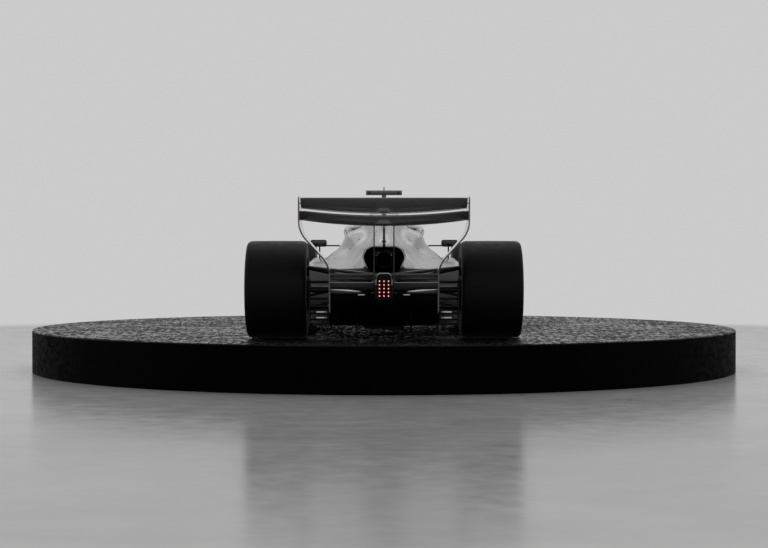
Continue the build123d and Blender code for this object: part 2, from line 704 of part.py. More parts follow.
with BuildPart() as exhaust:
    with BuildLine(Plane.YZ) as run:
        FilletPolyline(*[(y, level(z)) for y, z in EXHAUST_PATH], radius=EXHAUST_BEND)
    with BuildSketch(Plane(origin=run.line @ 0, z_dir=run.line % 0)):
        Circle(EXHAUST_RADIUS)
        Circle(EXHAUST_RADIUS - EXHAUST_WALL, mode=Mode.SUBTRACT)
    sweep(path=run.line)
    add(power.part, mode=Mode.SUBTRACT)
    add(gearbox.part, mode=Mode.SUBTRACT)
save(exhaust, "exhaust_pipe")

# Tail cover: outer skin first, then hollowed, with the airbox mouth and the fin
with BuildPart() as cover_skin:
    loft([cover_section(row, radii, 0.0, 0.0) for row, radii in zip(COVER_TABLE, COVER_RADII)])

with BuildPart() as cover:
    add(cover_skin.part)
    hollow = []
    shifts = [-COVER_FRONT_WALL] + [0.0] * (len(COVER_TABLE) - 2) + [-COVER_WALL]
    for row, radii, shift in zip(COVER_TABLE, COVER_RADII, shifts):
        hollow.append(cover_section((row[0] + shift,) + row[1:], radii, COVER_WALL, 2 * COVER_WALL))
    loft(hollow, mode=Mode.SUBTRACT)
    with BuildSketch(Plane.XZ.offset(-COVER_TABLE[0][0])):
        with Locations((0, level(AIRBOX_LEVEL))):
            RectangleRounded(AIRBOX_WIDTH, AIRBOX_HEIGHT, AIRBOX_CORNER)
    extrude(amount=2 * COVER_FRONT_WALL, mode=Mode.SUBTRACT)
    extrude(side_face(0, FIN_OUTLINE, FIN_CORNER), amount=FIN_THICKNESS / 2, both=True)
    with BuildSketch(Plane.XZ.offset(-min(y for y, z in FIN_OUTLINE))):
        with BuildLine():
            Polyline(
                (-FIN_FOOT_WIDTH / 2, level(FIN_FOOT_TOP)),
                (FIN_FOOT_WIDTH / 2, level(FIN_FOOT_TOP)),
                (0, level(FIN_FOOT_BOTTOM)),
                close=True,
            )
        make_face()
    extrude(amount=-FIN_FOOT_LENGTH)
    add(cell.part, mode=Mode.SUBTRACT)
    add(power.part, mode=Mode.SUBTRACT)
    add(exhaust.part, mode=Mode.SUBTRACT)
    add(gearbox.part, mode=Mode.SUBTRACT)
save(cover, "engine_cover")

# Headrest round the back of the cockpit
with BuildPart() as headrest:
    with BuildSketch(Plane.XY.offset(level(HEADREST_BOTTOM))):
        with BuildLine():
            half = [
                (HEADREST_HALF, HEADREST_REAR_Y),
                (HEADREST_HALF, HEADREST_FRONT_Y),
                (HEADREST_INNER_HALF, HEADREST_FRONT_Y),
                (HEADREST_INNER_HALF, HEADREST_REAR_Y + HEADREST_PAD),
            ]
            Polyline(*half, *[(-x, y) for x, y in reversed(half)], close=True)
        make_face()
    extrude(amount=HEADREST_TOP - HEADREST_BOTTOM)
    fillet(headrest.edges().filter_by(Axis.Z).sort_by(Axis.Y)[4:], radius=HEADREST_PAD / 4)
    for side in (-1, 1):
        with BuildSketch(Plane.XZ.offset(-COVER_TABLE[0][0])):
            with BuildLine():
                Polyline(*[(side * x, level(z)) for x, z in CHEEK_OUTLINE], close=True)
            make_face()
        extrude(amount=-CHEEK_LENGTH)
    add(cell.part, mode=Mode.SUBTRACT)
    add(cover_skin.part, mode=Mode.SUBTRACT)
save(headrest, "headrest")

# Sidepods with their inlet pockets
with BuildPart() as pod:
    loft([across(row[0], row[1:], POD_RADII) for row in POD_TABLE])
    with BuildSketch(Plane.XZ.offset(-POD_TABLE[0][0])):
        with Locations(((INLET_INNER + INLET_OUTER) / 2, level((INLET_BOTTOM + INLET_TOP) / 2))):
            RectangleRounded(INLET_OUTER - INLET_INNER, INLET_TOP - INLET_BOTTOM, INLET_CORNER)
    extrude(amount=INLET_DEPTH, mode=Mode.SUBTRACT)
    for neighbour in (cover_skin, cell, power, gearbox, floor, headrest):
        add(neighbour.part, mode=Mode.SUBTRACT)
save_pair(pod, "sidepod")

# Halo: hoop in its sloping plane, rear legs and front pillar
with BuildPart() as halo:
    hoop_plane = Plane(
        origin=(0, HALO_REAR_Y, level(HALO_REAR_LEVEL)),
        x_dir=(1, 0, 0),
        z_dir=Vector(0, HALO_REAR_LEVEL - HALO_FRONT_LEVEL, HALO_FRONT_Y - HALO_REAR_Y),
    )
    with BuildLine(hoop_plane) as hoop:
        FilletPolyline(*HALO_PATH, radius=HALO_BENDS)
    with BuildSketch(Plane(origin=hoop.line @ 0, z_dir=hoop.line % 0)):
        Circle(HALO_RADIUS)
    sweep(path=hoop.line)
    for sign, knee in ((-1, hoop.line @ 0), (1, hoop.line @ 1)):
        foot = Vector(sign * HALO_FOOT[0], HALO_FOOT[1], level(HALO_FOOT[2]))
        with BuildSketch(Plane(origin=knee, z_dir=foot - knee)):
            Circle(HALO_RADIUS)
        extrude(amount=(foot - knee).length)
        with Locations(knee):
            Sphere(HALO_RADIUS)
    crown = Vector(0, HALO_FRONT_Y, level(HALO_FRONT_LEVEL))
    pillar_foot = Vector(0, HALO_PILLAR_FOOT[1], level(HALO_PILLAR_FOOT[2]))
    with BuildSketch(Plane(origin=pillar_foot, x_dir=(1, 0, 0), z_dir=crown - pillar_foot)):
        SlotOverall(HALO_PILLAR_CHORD, HALO_PILLAR_DEPTH, rotation=90)
    extrude(amount=(crown - pillar_foot).length)
    for neighbour in (cell, cover_skin, headrest, pod):
        add(neighbour.part, mode=Mode.SUBTRACT)
    mirror(pod.part, about=Plane.YZ, mode=Mode.SUBTRACT)
save(halo, "halo")

# Camera bar on its stalk, with an aerial
with BuildPart() as camera:
    with BuildSketch(Plane.YZ.offset(-CAMERA_HALF)):
        with Locations((CAMERA_Y, level(CAMERA_LEVEL))):
            SlotOverall(CAMERA_LENGTH, CAMERA_HEIGHT)
    extrude(amount=2 * CAMERA_HALF)
    with BuildSketch(Plane.XY.offset(level(CAMERA_FOOT))):
        with Locations((0, CAMERA_Y)):
            SlotOverall(CAMERA_STALK_LENGTH, 2 * CAMERA_STALK_HALF, rotation=90)
    extrude(amount=CAMERA_LEVEL - CAMERA_FOOT)
    with Locations((0, CAMERA_Y, level(CAMERA_LEVEL))):
        Cylinder(AERIAL_RADIUS, AERIAL_TOP - CAMERA_LEVEL, align=(Align.CENTER, Align.CENTER, Align.MIN))
    add(cover_skin.part, mode=Mode.SUBTRACT)
save(camera, "camera_bar")

# Mirrors with a stay to the sidepod and an arm to the safety cell
with BuildPart() as mirrors:
    with BuildSketch(Plane.XZ.offset(-MIRROR_Y)):
        with Locations(((MIRROR_INNER + MIRROR_OUTER) / 2, level((MIRROR_BOTTOM + MIRROR_TOP) / 2))):
            RectangleRounded(MIRROR_OUTER - MIRROR_INNER, MIRROR_TOP - MIRROR_BOTTOM, MIRROR_CORNER)
    extrude(amount=-MIRROR_DEPTH, taper=MIRROR_TAPER)
    with BuildSketch(Plane.XZ.offset(-MIRROR_Y)):
        with Locations(((MIRROR_INNER + MIRROR_OUTER) / 2, level((MIRROR_BOTTOM + MIRROR_TOP) / 2))):
            RectangleRounded(
                MIRROR_OUTER - MIRROR_INNER - 2 * MIRROR_RIM,
                MIRROR_TOP - MIRROR_BOTTOM - 2 * MIRROR_RIM,
                MIRROR_CORNER - MIRROR_RIM,
            )
    extrude(amount=-MIRROR_GLASS, mode=Mode.SUBTRACT)
    with Locations((MIRROR_STAY_X, MIRROR_Y + MIRROR_DEPTH / 2, level(MIRROR_BOTTOM + MIRROR_RIM))):
        Box(
            MIRROR_STAY,
            2 * MIRROR_STAY,
            MIRROR_BOTTOM - MIRROR_FOOT_LEVEL,
            align=(Align.CENTER, Align.CENTER, Align.MAX),
        )
    with BuildSketch(Plane.XZ.offset(-MIRROR_Y - MIRROR_DEPTH / 2)):
        with BuildLine():
            Polyline(
                (MIRROR_INNER + MIRROR_RIM, level(MIRROR_ARM_LEVEL)),
                (MIRROR_ELBOW_X, level(MIRROR_ARM_LEVEL)),
                (MIRROR_FOOT_X, level(MIRROR_ARM_FOOT)),
                (MIRROR_FOOT_X, level(MIRROR_ARM_FOOT - MIRROR_STAY)),
                (MIRROR_ELBOW_X, level(MIRROR_ARM_LEVEL - MIRROR_STAY)),
                (MIRROR_INNER + MIRROR_RIM, level(MIRROR_ARM_LEVEL - MIRROR_STAY)),
                close=True,
            )
        make_face()
    extrude(amount=MIRROR_STAY, both=True)
    for neighbour in (pod, cell, headrest):
        add(neighbour.part, mode=Mode.SUBTRACT)
    mirror(about=Plane.YZ)
save(mirrors, "mirrors")

# Steering wheel with its column
with BuildPart() as steering:
    with BuildSketch(Plane.XZ.offset(-WHEEL_Y)):
        with Locations((0, level(WHEEL_LEVEL))):
            RectangleRounded(WHEEL_WIDTH, WHEEL_HEIGHT, WHEEL_CORNER)
        with Locations((-WHEEL_WIDTH / 2, level(WHEEL_LEVEL)), (WHEEL_WIDTH / 2, level(WHEEL_LEVEL))):
            RectangleRounded(2 * GRIP_INSET, WHEEL_HEIGHT - GRIP_HEIGHT, GRIP_INSET / 2, mode=Mode.SUBTRACT)
    extrude(amount=-WHEEL_DEPTH)
    with BuildSketch(Plane.XZ.offset(-WHEEL_Y - WHEEL_DEPTH)):
        with Locations((0, level(WHEEL_LEVEL))):
            Circle(COLUMN_RADIUS)
    extrude(amount=-(COLUMN_END_Y - WHEEL_Y - WHEEL_DEPTH))
save(steering, "steering_wheel")

# Front wing
with BuildPart() as front_main:
    outer = [(-row[0],) + row[1:] for row in reversed(FRONT_MAIN_TABLE[1:])]
    loft([wing_section(*row) for row in outer + list(FRONT_MAIN_TABLE)])
    add(nose.part, mode=Mode.SUBTRACT)
save(front_main, "front_wing_main")

with BuildPart() as front_flaps:
    for sign in (-1, 1):
        for root_front, root_rear, tip_front, tip_rear in FRONT_FLAP_TABLE:
            root = wing_section(sign * FLAP_ROOT_X, root_front, root_rear, *FRONT_FLAP_SAG)
            tip = wing_section(sign * FRONT_WING_HALF, tip_front, tip_rear, *FRONT_FLAP_SAG)
            loft([root, tip])
    add(nose.part, mode=Mode.SUBTRACT)
    add(front_main.part, mode=Mode.SUBTRACT)
save(front_flaps, "front_wing_flaps")

with BuildPart() as front_plate:
    extrude(side_face(FRONT_WING_HALF, FRONT_PLATE_OUTLINE, FRONT_PLATE_CORNER), amount=FRONT_PLATE_THICKNESS)
save_pair(front_plate, "front_endplate")

# Rear wing main plane with the flap actuator
with BuildPart() as wing_main:
    outer = [(-row[0],) + row[1:] for row in reversed(WING_MAIN_TABLE)]
    loft([wing_section(*row) for row in outer + list(WING_MAIN_TABLE)])
    extrude(side_face(0, ACTUATOR_OUTLINE, ACTUATOR_CORNER), amount=ACTUATOR_HALF, both=True)
save(wing_main, "rear_wing_main")

# Rear wing flap, bored at its tips for the hinge pins
with BuildPart() as wing_flap:
    outer = [(-row[0],) + row[1:] for row in reversed(WING_FLAP_TABLE)]
    loft([wing_section(*row) for row in outer + list(WING_FLAP_TABLE)])
    for side in (-1, 1):
        with BuildSketch(Plane.YZ.offset(side * WING_FLAP_TABLE[-1][0])):
            with Locations((FLAP_PIVOT_Y, level(FLAP_PIVOT_LEVEL))):
                Circle(FLAP_PIN_RADIUS + RUN_CLEARANCE)
        extrude(amount=-side * FLAP_PIN_LENGTH, mode=Mode.SUBTRACT)
save(wing_flap, "rear_wing_flap")

with BuildPart() as endplate:
    with BuildLine(Plane.XZ) as bend:
        FilletPolyline(*[(x, level(z)) for x, z in ENDPLATE_PATH], radius=ENDPLATE_BENDS)
    back = min(y for y, z in ENDPLATE_OUTLINE)
    front = max(y for y, z in ENDPLATE_OUTLINE)
    with BuildSketch(Plane(origin=bend.line @ 0, x_dir=(1, 0, 0), z_dir=(0, 0, -1))):
        with Locations((0, -back)):
            Rectangle(ENDPLATE_THICKNESS, front - back, align=(Align.CENTER, Align.MAX))
    sweep(path=bend.line)
    extrude(side_face(0, ENDPLATE_OUTLINE, ENDPLATE_CORNER), amount=OVERALL_WIDTH / 2, mode=Mode.INTERSECT)
    with BuildSketch(Plane.YZ.offset(ENDPLATE_X)):
        with Locations((FLAP_PIVOT_Y, level(FLAP_PIVOT_LEVEL))):
            Circle(FLAP_PIN_RADIUS)
    extrude(amount=-(ENDPLATE_X - WING_FLAP_TABLE[-1][0] + FLAP_PIN_LENGTH - MOVING_GAP))
    add(wing_main.part, mode=Mode.SUBTRACT)
    add(diffuser.part, mode=Mode.SUBTRACT)
save_pair(endplate, "rear_endplate")

with BuildPart() as wing_lamp:
    back = min(y for y, z in ENDPLATE_OUTLINE)
    with Locations((ENDPLATE_X + ENDPLATE_THICKNESS / 2, back, level(WING_LAMP_BOTTOM))):
        Box(
            WING_LAMP_WIDTH,
            WING_LAMP_DEPTH,
            WING_LAMP_TOP - WING_LAMP_BOTTOM,
            align=(Align.MAX, Align.MAX, Align.MIN),
        )
save_pair(wing_lamp, "wing_lamp")

with BuildPart() as pylons:
    for side in (-1, 1):
        extrude(side_face(side * PYLON_X, PYLON_OUTLINE, PYLON_CORNER), amount=PYLON_THICKNESS / 2, both=True)
    add(wing_main.part, mode=Mode.SUBTRACT)
    add(tail.part, mode=Mode.SUBTRACT)
save(pylons, "wing_pylons")

with BuildPart() as beam:
    for front, rear, sag, sag_top in BEAM_TABLE:
        extrude(wing_section(0, front, rear, sag, sag_top), amount=BEAM_HALF, both=True)
    with Locations((0, BEAM_TABLE[0][0][0], level(BEAM_TABLE[0][0][1]))):
        Box(2 * PYLON_X + PYLON_THICKNESS, BEAM_HALF, BEAM_HALF, mode=Mode.SUBTRACT)
    for neighbour in (tail, diffuser, endplate):
        add(neighbour.part, mode=Mode.SUBTRACT)
    mirror(endplate.part, about=Plane.YZ, mode=Mode.SUBTRACT)
save(beam, "beam_wing")

# Wheels: tyre, and rim with its spokes, hub and nut
for end, axle_y, wheel_x, tyre_width in (
    ("front", FRONT_AXLE_Y, FRONT_WHEEL_X, FRONT_TYRE_WIDTH),
    ("rear", REAR_AXLE_Y, REAR_WHEEL_X, REAR_TYRE_WIDTH),
):
    wheel_plane = Plane(origin=(wheel_x, axle_y, HUB_Z), x_dir=(1, 0, 0), z_dir=(0, -1, 0))
    half_tyre = tyre_width / 2
    half_rim = half_tyre - RIM_INSET
    face = half_rim - SPOKE_INSET
    with BuildPart() as tyre:
        with BuildSketch(wheel_plane):
            with BuildLine():
                half = [
                    (half_tyre - TYRE_SHOULDER, TYRE_RADIUS),
                    (half_tyre, TYRE_RADIUS - TYRE_SHOULDER),
                    (half_tyre, RIM_RADIUS),
                ]
                Polyline(*half, *[(-a, r) for a, r in reversed(half)], close=True)
            make_face()
        revolve(axis=Axis((wheel_x, axle_y, HUB_Z), (1, 0, 0)))
    save_pair(tyre, f"tyre_{end}")
    with BuildPart() as rim:
        with BuildSketch(wheel_plane):
            with BuildLine():
                Polyline(
                    (-half_rim, RIM_RADIUS),
                    (half_rim, RIM_RADIUS),
                    (half_rim, RIM_RADIUS - RIM_WALL),
                    (face, RIM_RADIUS - RIM_WALL),
                    (face, NUT_RADIUS),
                    (face + NUT_LENGTH, NUT_RADIUS),
                    (face + NUT_LENGTH, 0),
                    (face, 0),
                    (face, SHAFT_RADIUS + RUN_CLEARANCE),
                    (face - HUB_LENGTH, SHAFT_RADIUS + RUN_CLEARANCE),
                    (face - HUB_LENGTH, HUB_RADIUS),
                    (face - SPOKE_DEPTH, HUB_RADIUS),
                    (face - SPOKE_DEPTH, RIM_RADIUS - RIM_WALL),
                    (-half_rim, RIM_RADIUS - RIM_WALL),
                    close=True,
                )
            make_face()
        revolve(axis=Axis((wheel_x, axle_y, HUB_Z), (1, 0, 0)))
        with BuildSketch(Plane.YZ.offset(wheel_x + face)):
            with Locations((axle_y, HUB_Z)):
                with PolarLocations(0, SPOKE_COUNT):
                    Polygon(
                        (SPOKE_WINDOW_INNER, -SPOKE_WINDOW_ROOT / 2),
                        (SPOKE_WINDOW_OUTER, -SPOKE_WINDOW_TIP / 2),
                        (SPOKE_WINDOW_OUTER, SPOKE_WINDOW_TIP / 2),
                        (SPOKE_WINDOW_INNER, SPOKE_WINDOW_ROOT / 2),
                        align=None,
                    )
        extrude(amount=-2 * SPOKE_DEPTH, mode=Mode.SUBTRACT)
    save_pair(rim, f"rim_{end}")

# Front uprights: drum, spindle, post with kingpin lugs, steering arm and duct scoop
front_face = FRONT_TYRE_WIDTH / 2 - RIM_INSET - SPOKE_INSET
with BuildPart() as front_upright:
    drum_back = FRONT_WHEEL_X - FRONT_DRUM_BACK
    drum_face = FRONT_WHEEL_X + front_face - HUB_LENGTH - MOVING_GAP
    with BuildSketch(Plane.YZ.offset(drum_back)):
        with Locations((FRONT_AXLE_Y, HUB_Z)):
            Circle(DRUM_RADIUS)
    extrude(amount=drum_face - drum_back)
    with BuildSketch(Plane.YZ.offset(drum_face)):
        with Locations((FRONT_AXLE_Y, HUB_Z)):
            Circle(SHAFT_RADIUS)
    extrude(amount=FRONT_WHEEL_X + front_face - MOVING_GAP - drum_face)
    lug_end = EYE_LEVEL + EYE_HEIGHT / 2 + LUG_GAP + LUG_THICKNESS
    with Locations((KINGPIN_X + POST_INSET, FRONT_AXLE_Y, HUB_Z)):
        Box(
            drum_back - KINGPIN_X - POST_INSET,
            POST_WIDTH,
            2 * lug_end,
            align=(Align.MIN, Align.CENTER, Align.CENTER),
        )
    for turn in (-1, 1):
        lug_middle = turn * (lug_end - LUG_THICKNESS / 2)
        with Locations((KINGPIN_X - EYE_RADIUS, FRONT_AXLE_Y, HUB_Z + lug_middle)):
            Box(
                EYE_RADIUS + POST_INSET,
                2 * EYE_RADIUS,
                LUG_THICKNESS,
                align=(Align.MIN, Align.CENTER, Align.CENTER),
            )
        with Locations((KINGPIN_X, FRONT_AXLE_Y, HUB_Z + turn * (EYE_LEVEL + LUG_GAP / 2))):
            Cylinder(KINGPIN_RADIUS, EYE_HEIGHT + LUG_GAP)
    with Locations((KINGPIN_X - STEER_ARM_WIDTH / 2, FRONT_AXLE_Y, HUB_Z + STEER_ARM_LEVEL)):
        Box(
            POST_INSET + STEER_ARM_WIDTH,
            STEER_ARM + STEER_ARM_WIDTH / 2,
            STEER_ARM_THICKNESS,
            align=(Align.MIN, Align.MAX, Align.MAX),
        )
    with Locations((KINGPIN_X, FRONT_AXLE_Y - STEER_ARM, HUB_Z + STEER_ARM_LEVEL)):
        Cylinder(
            RACK_PIN_RADIUS,
            RACK_TAB_GAP + RACK_TAB_HEIGHT,
            align=(Align.CENTER, Align.CENTER, Align.MIN),
        )
    with Locations((drum_back, FRONT_AXLE_Y + SCOOP_AHEAD, HUB_Z)):
        Box(SCOOP_REACH, SCOOP_LENGTH, SCOOP_HEIGHT, align=(Align.MAX, Align.MIN, Align.CENTER))
    with Locations((drum_back - SCOOP_WALL, FRONT_AXLE_Y + SCOOP_AHEAD + SCOOP_LENGTH, HUB_Z)):
        Box(
            SCOOP_REACH - 2 * SCOOP_WALL,
            SCOOP_DEPTH,
            SCOOP_HEIGHT - 2 * SCOOP_WALL,
            align=(Align.MAX, Align.MAX, Align.CENTER),
            mode=Mode.SUBTRACT,
        )
save_pair(front_upright, "front_upright")

# Steering rack with its two track rods
with BuildPart() as rack:
    with BuildSketch(Plane.YZ):
        with Locations((FRONT_AXLE_Y - STEER_ARM, RACK_Z)):
            Circle(RACK_RADIUS)
    extrude(amount=KINGPIN_X, both=True)
    for side in (-1, 1):
        with Locations((side * KINGPIN_X, FRONT_AXLE_Y - STEER_ARM, RACK_Z)):
            Cylinder(RACK_TAB_RADIUS, RACK_TAB_HEIGHT)
            Cylinder(RACK_PIN_RADIUS + RACK_DRIFT, RACK_TAB_HEIGHT, mode=Mode.SUBTRACT)
save(rack, "track_rods")

# Front suspension links with the eyes that hold the kingpins
with BuildPart() as front_links:
    for x, ahead, height, eye in FRONT_LINKS:
        inner = Vector(x, FRONT_AXLE_Y + ahead, level(height))
        outer_end = Vector(KINGPIN_X, FRONT_AXLE_Y, HUB_Z + eye * EYE_LEVEL)
        with BuildSketch(link_plane(inner, outer_end)):
            SlotOverall(FRONT_LINK_CHORD, FRONT_LINK_DEPTH)
        extrude(amount=(outer_end - inner).length)
    pushrod_top = Vector(PUSHROD_TOP_X, FRONT_AXLE_Y, level(PUSHROD_TOP))
    pushrod_foot = Vector(PUSHROD_FOOT_X, FRONT_AXLE_Y, level(PUSHROD_FOOT))
    with BuildSketch(link_plane(pushrod_top, pushrod_foot)):
        SlotOverall(PUSHROD_CHORD, PUSHROD_DEPTH)
    extrude(amount=(pushrod_foot - pushrod_top).length)
    for turn in (-1, 1):
        with Locations((KINGPIN_X, FRONT_AXLE_Y, HUB_Z + turn * EYE_LEVEL)):
            Cylinder(EYE_RADIUS, EYE_HEIGHT)
    with Locations((KINGPIN_X, FRONT_AXLE_Y, HUB_Z)):
        Cylinder(KINGPIN_RADIUS + RUN_CLEARANCE, 3 * EYE_LEVEL, mode=Mode.SUBTRACT)
    with Locations((KINGPIN_X + EYE_RADIUS, FRONT_AXLE_Y, HUB_Z)):
        Box(
            OVERALL_WIDTH,
            OVERALL_WIDTH,
            OVERALL_WIDTH,
            align=(Align.MIN, Align.CENTER, Align.CENTER),
            mode=Mode.SUBTRACT,
        )
    add(cell.part, mode=Mode.SUBTRACT)
    add(nose.part, mode=Mode.SUBTRACT)
    mirror(about=Plane.YZ)
save(front_links, "front_suspension")

# Rear uprights: drum bored for the drive shaft, cooling duct and the winglet cascade
rear_face = REAR_TYRE_WIDTH / 2 - RIM_INSET - SPOKE_INSET
rear_drum_back = REAR_WHEEL_X - REAR_DRUM_BACK
with BuildPart() as rear_upright:
    drum_face = REAR_WHEEL_X + rear_face - HUB_LENGTH - SHAFT_SEAT - MOVING_GAP
    with BuildSketch(Plane.YZ.offset(rear_drum_back)):
        with Locations((REAR_AXLE_Y, HUB_Z)):
            Circle(DRUM_RADIUS)
    extrude(amount=drum_face - rear_drum_back)
    with BuildSketch(Plane.YZ.offset(WINGLET_OUTER_X)):
        with Locations((REAR_AXLE_Y, HUB_Z)):
            Circle(DUCT_OUTER)
    extrude(amount=rear_drum_back - WINGLET_OUTER_X)
    for x in (WINGLET_INNER_X, WINGLET_OUTER_X - WINGLET_FENCE):
        with Locations((x, REAR_AXLE_Y - WINGLET_FRONT, level(WINGLET_FENCE_BOTTOM))):
            Box(
                WINGLET_FENCE,
                WINGLET_BACK - WINGLET_FRONT,
                WINGLET_FENCE_TOP - WINGLET_FENCE_BOTTOM,
                align=(Align.MIN, Align.MAX, Align.MIN),
            )
    for height in WINGLET_LEVELS:
        with BuildSketch(Plane.YZ.offset(WINGLET_INNER_X)):
            with BuildLine():
                Polyline(
                    (REAR_AXLE_Y - WINGLET_FRONT, level(height)),
                    (REAR_AXLE_Y - WINGLET_BACK, level(height + WINGLET_RISE)),
                    (REAR_AXLE_Y - WINGLET_BACK, level(height + WINGLET_RISE + WINGLET_THICKNESS)),
                    (REAR_AXLE_Y - WINGLET_FRONT, level(height + WINGLET_THICKNESS)),
                    close=True,
                )
            make_face()
        extrude(amount=WINGLET_OUTER_X - WINGLET_INNER_X)
    lowest = WINGLET_LEVELS[0] + WINGLET_THICKNESS / 2
    for x in WINGLET_FOOT_X:
        with BuildSketch(Plane.YZ.offset(x)):
            with BuildLine():
                Polyline(
                    (REAR_AXLE_Y - WINGLET_FRONT, level(lowest)),
                    (REAR_AXLE_Y - WINGLET_BACK, level(lowest + WINGLET_RISE)),
                    (REAR_AXLE_Y - WINGLET_BACK, level(WINGLET_FOOT_LEVEL)),
                    (REAR_AXLE_Y - (WINGLET_FRONT + WINGLET_BACK) / 2, level(WINGLET_FOOT_LEVEL)),
                    close=True,
                )
            make_face()
        extrude(amount=WINGLET_FENCE)
    with BuildSketch(Plane.YZ):
        with Locations((REAR_AXLE_Y, HUB_Z)):
            Circle(SHAFT_RADIUS + RUN_CLEARANCE)
    extrude(amount=OVERALL_WIDTH, mode=Mode.SUBTRACT)
    with BuildSketch(Plane.YZ):
        with Locations((REAR_AXLE_Y, HUB_Z)):
            Circle(DUCT_INNER)
    extrude(amount=rear_drum_back, mode=Mode.SUBTRACT)
save_pair(rear_upright, "rear_upright")

# Drive shafts, seated in the hubs and running in the gearbox bosses
with BuildPart() as shaft:
    with BuildSketch(Plane.YZ.offset(OUTPUT_X - OUTPUT_DEPTH + MOVING_GAP)):
        with Locations((REAR_AXLE_Y, HUB_Z)):
            Circle(SHAFT_RADIUS)
    extrude(amount=REAR_WHEEL_X + rear_face - OUTPUT_X + OUTPUT_DEPTH - MOVING_GAP)
    with BuildSketch(Plane.YZ.offset(REAR_WHEEL_X + rear_face - HUB_LENGTH)):
        with Locations((REAR_AXLE_Y, HUB_Z)):
            Circle(HUB_RADIUS)
    extrude(amount=-SHAFT_SEAT)
save_pair(shaft, "drive_shaft")

# Rear suspension links
with BuildPart() as rear_links:
    for x, ahead, height, outer_ahead, above_hub in REAR_LINKS:
        inner = Vector(x, REAR_AXLE_Y + ahead, level(height))
        outer_end = Vector(rear_drum_back + REAR_LINK_SEAT, REAR_AXLE_Y + outer_ahead, HUB_Z + above_hub)
        with BuildSketch(link_plane(inner, outer_end)):
            SlotOverall(REAR_LINK_CHORD, REAR_LINK_DEPTH)
        extrude(amount=(outer_end - inner).length)
    for neighbour in (gearbox, tail, cover_skin, pod, power, floor, diffuser, rear_upright, exhaust):
        add(neighbour.part, mode=Mode.SUBTRACT)
    mirror(about=Plane.YZ)
save(rear_links, "rear_suspension")
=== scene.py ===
"""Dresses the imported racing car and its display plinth, sets the camera and lights the studio."""
import json
import math

import bmesh
import bpy
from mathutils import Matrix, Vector
from mathutils.bvhtree import BVHTree


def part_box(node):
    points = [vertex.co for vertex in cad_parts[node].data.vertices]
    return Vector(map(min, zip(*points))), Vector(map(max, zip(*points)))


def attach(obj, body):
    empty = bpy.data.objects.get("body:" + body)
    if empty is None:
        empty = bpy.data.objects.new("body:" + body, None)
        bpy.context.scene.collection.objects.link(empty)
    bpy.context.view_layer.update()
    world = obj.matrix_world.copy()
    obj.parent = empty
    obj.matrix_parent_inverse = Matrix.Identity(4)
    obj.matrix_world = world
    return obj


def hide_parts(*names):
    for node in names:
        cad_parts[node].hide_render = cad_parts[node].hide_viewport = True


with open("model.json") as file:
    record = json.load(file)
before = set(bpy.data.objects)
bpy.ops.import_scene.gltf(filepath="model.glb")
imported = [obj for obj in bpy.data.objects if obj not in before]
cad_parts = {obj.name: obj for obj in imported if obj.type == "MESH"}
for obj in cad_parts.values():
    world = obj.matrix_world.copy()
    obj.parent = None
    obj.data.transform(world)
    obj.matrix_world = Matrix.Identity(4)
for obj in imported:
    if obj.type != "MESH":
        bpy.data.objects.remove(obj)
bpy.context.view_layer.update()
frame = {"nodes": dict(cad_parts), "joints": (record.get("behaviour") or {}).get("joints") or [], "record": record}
NODES = frame["nodes"]
RECORD = frame["record"]
JOINTS = {joint["name"]: joint for joint in frame["joints"]}
SIDES = {"left": -1.0, "right": 1.0}
RIGHT = (1.0, 0.0, 0.0)
REAR = (0.0, -1.0, 0.0)
UP = (0.0, 0.0, 1.0)
DOWN = (0.0, 0.0, -1.0)
FORWARD = 1.0
BACKWARD = -1.0
WHITE = (1.0, 1.0, 1.0, 1.0)
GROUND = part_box("display_plinth")[1][2]
CLEAR_ABOVE = 1.6


def level(height):
    """Height above the plinth's top, as a place in the frame."""
    return GROUND + height


# Shader helpers
def material(name):
    """New node material with its shader."""
    made = bpy.data.materials.new(name)
    made.use_nodes = True
    return made, made.node_tree, made.node_tree.nodes["Principled BSDF"]


def node(tree, kind, **values):
    """New shader node; plain values go to properties, values in a dict named inputs to sockets."""
    made = tree.nodes.new(kind)
    for key, value in values.pop("inputs", {}).items():
        made.inputs[key].default_value = value
    for key, value in values.items():
        setattr(made, key, value)
    return made


def coordinates(tree):
    """Object coordinates in metres."""
    return node(tree, "ShaderNodeTexCoord").outputs["Object"]


def axes(tree):
    """Object coordinates as three sockets."""
    parts = node(tree, "ShaderNodeSeparateXYZ")
    tree.links.new(coordinates(tree), parts.inputs[0])
    return parts.outputs


def noise(tree, scale, detail=4.0, roughness=0.55, distortion=0.0, stretch=None):
    """Noise value over the object, drawn out along the axes by stretch."""
    made = node(tree, "ShaderNodeTexNoise", inputs={
        "Scale": scale, "Detail": detail, "Roughness": roughness, "Distortion": distortion})
    place = coordinates(tree)
    if stretch is not None:
        mapping = node(tree, "ShaderNodeMapping", inputs={"Scale": stretch})
        tree.links.new(place, mapping.inputs["Vector"])
        place = mapping.outputs["Vector"]
    tree.links.new(place, made.inputs["Vector"])
    return made.outputs["Fac"]


def ramp(tree, value, *stops):
    """Colour ramp from (place, colour) stops; a single number stands for a grey."""
    made = node(tree, "ShaderNodeValToRGB")
    elements = made.color_ramp.elements
    while len(elements) < len(stops):
        elements.new(0.5)
    for element, (place, colour) in zip(elements, stops):
        element.position = place
        if isinstance(colour, (int, float)):
            colour = (colour, colour, colour)
        element.color = (*colour, 1.0)
    tree.links.new(value, made.inputs["Fac"])
    return made.outputs["Color"]


def bump(tree, shader, height, strength, distance):
    """Bump from a height value into the shader's normal."""
    made = node(tree, "ShaderNodeBump", inputs={"Strength": strength, "Distance": distance})
    tree.links.new(height, made.inputs["Height"])
    tree.links.new(made.outputs["Normal"], shader.inputs["Normal"])


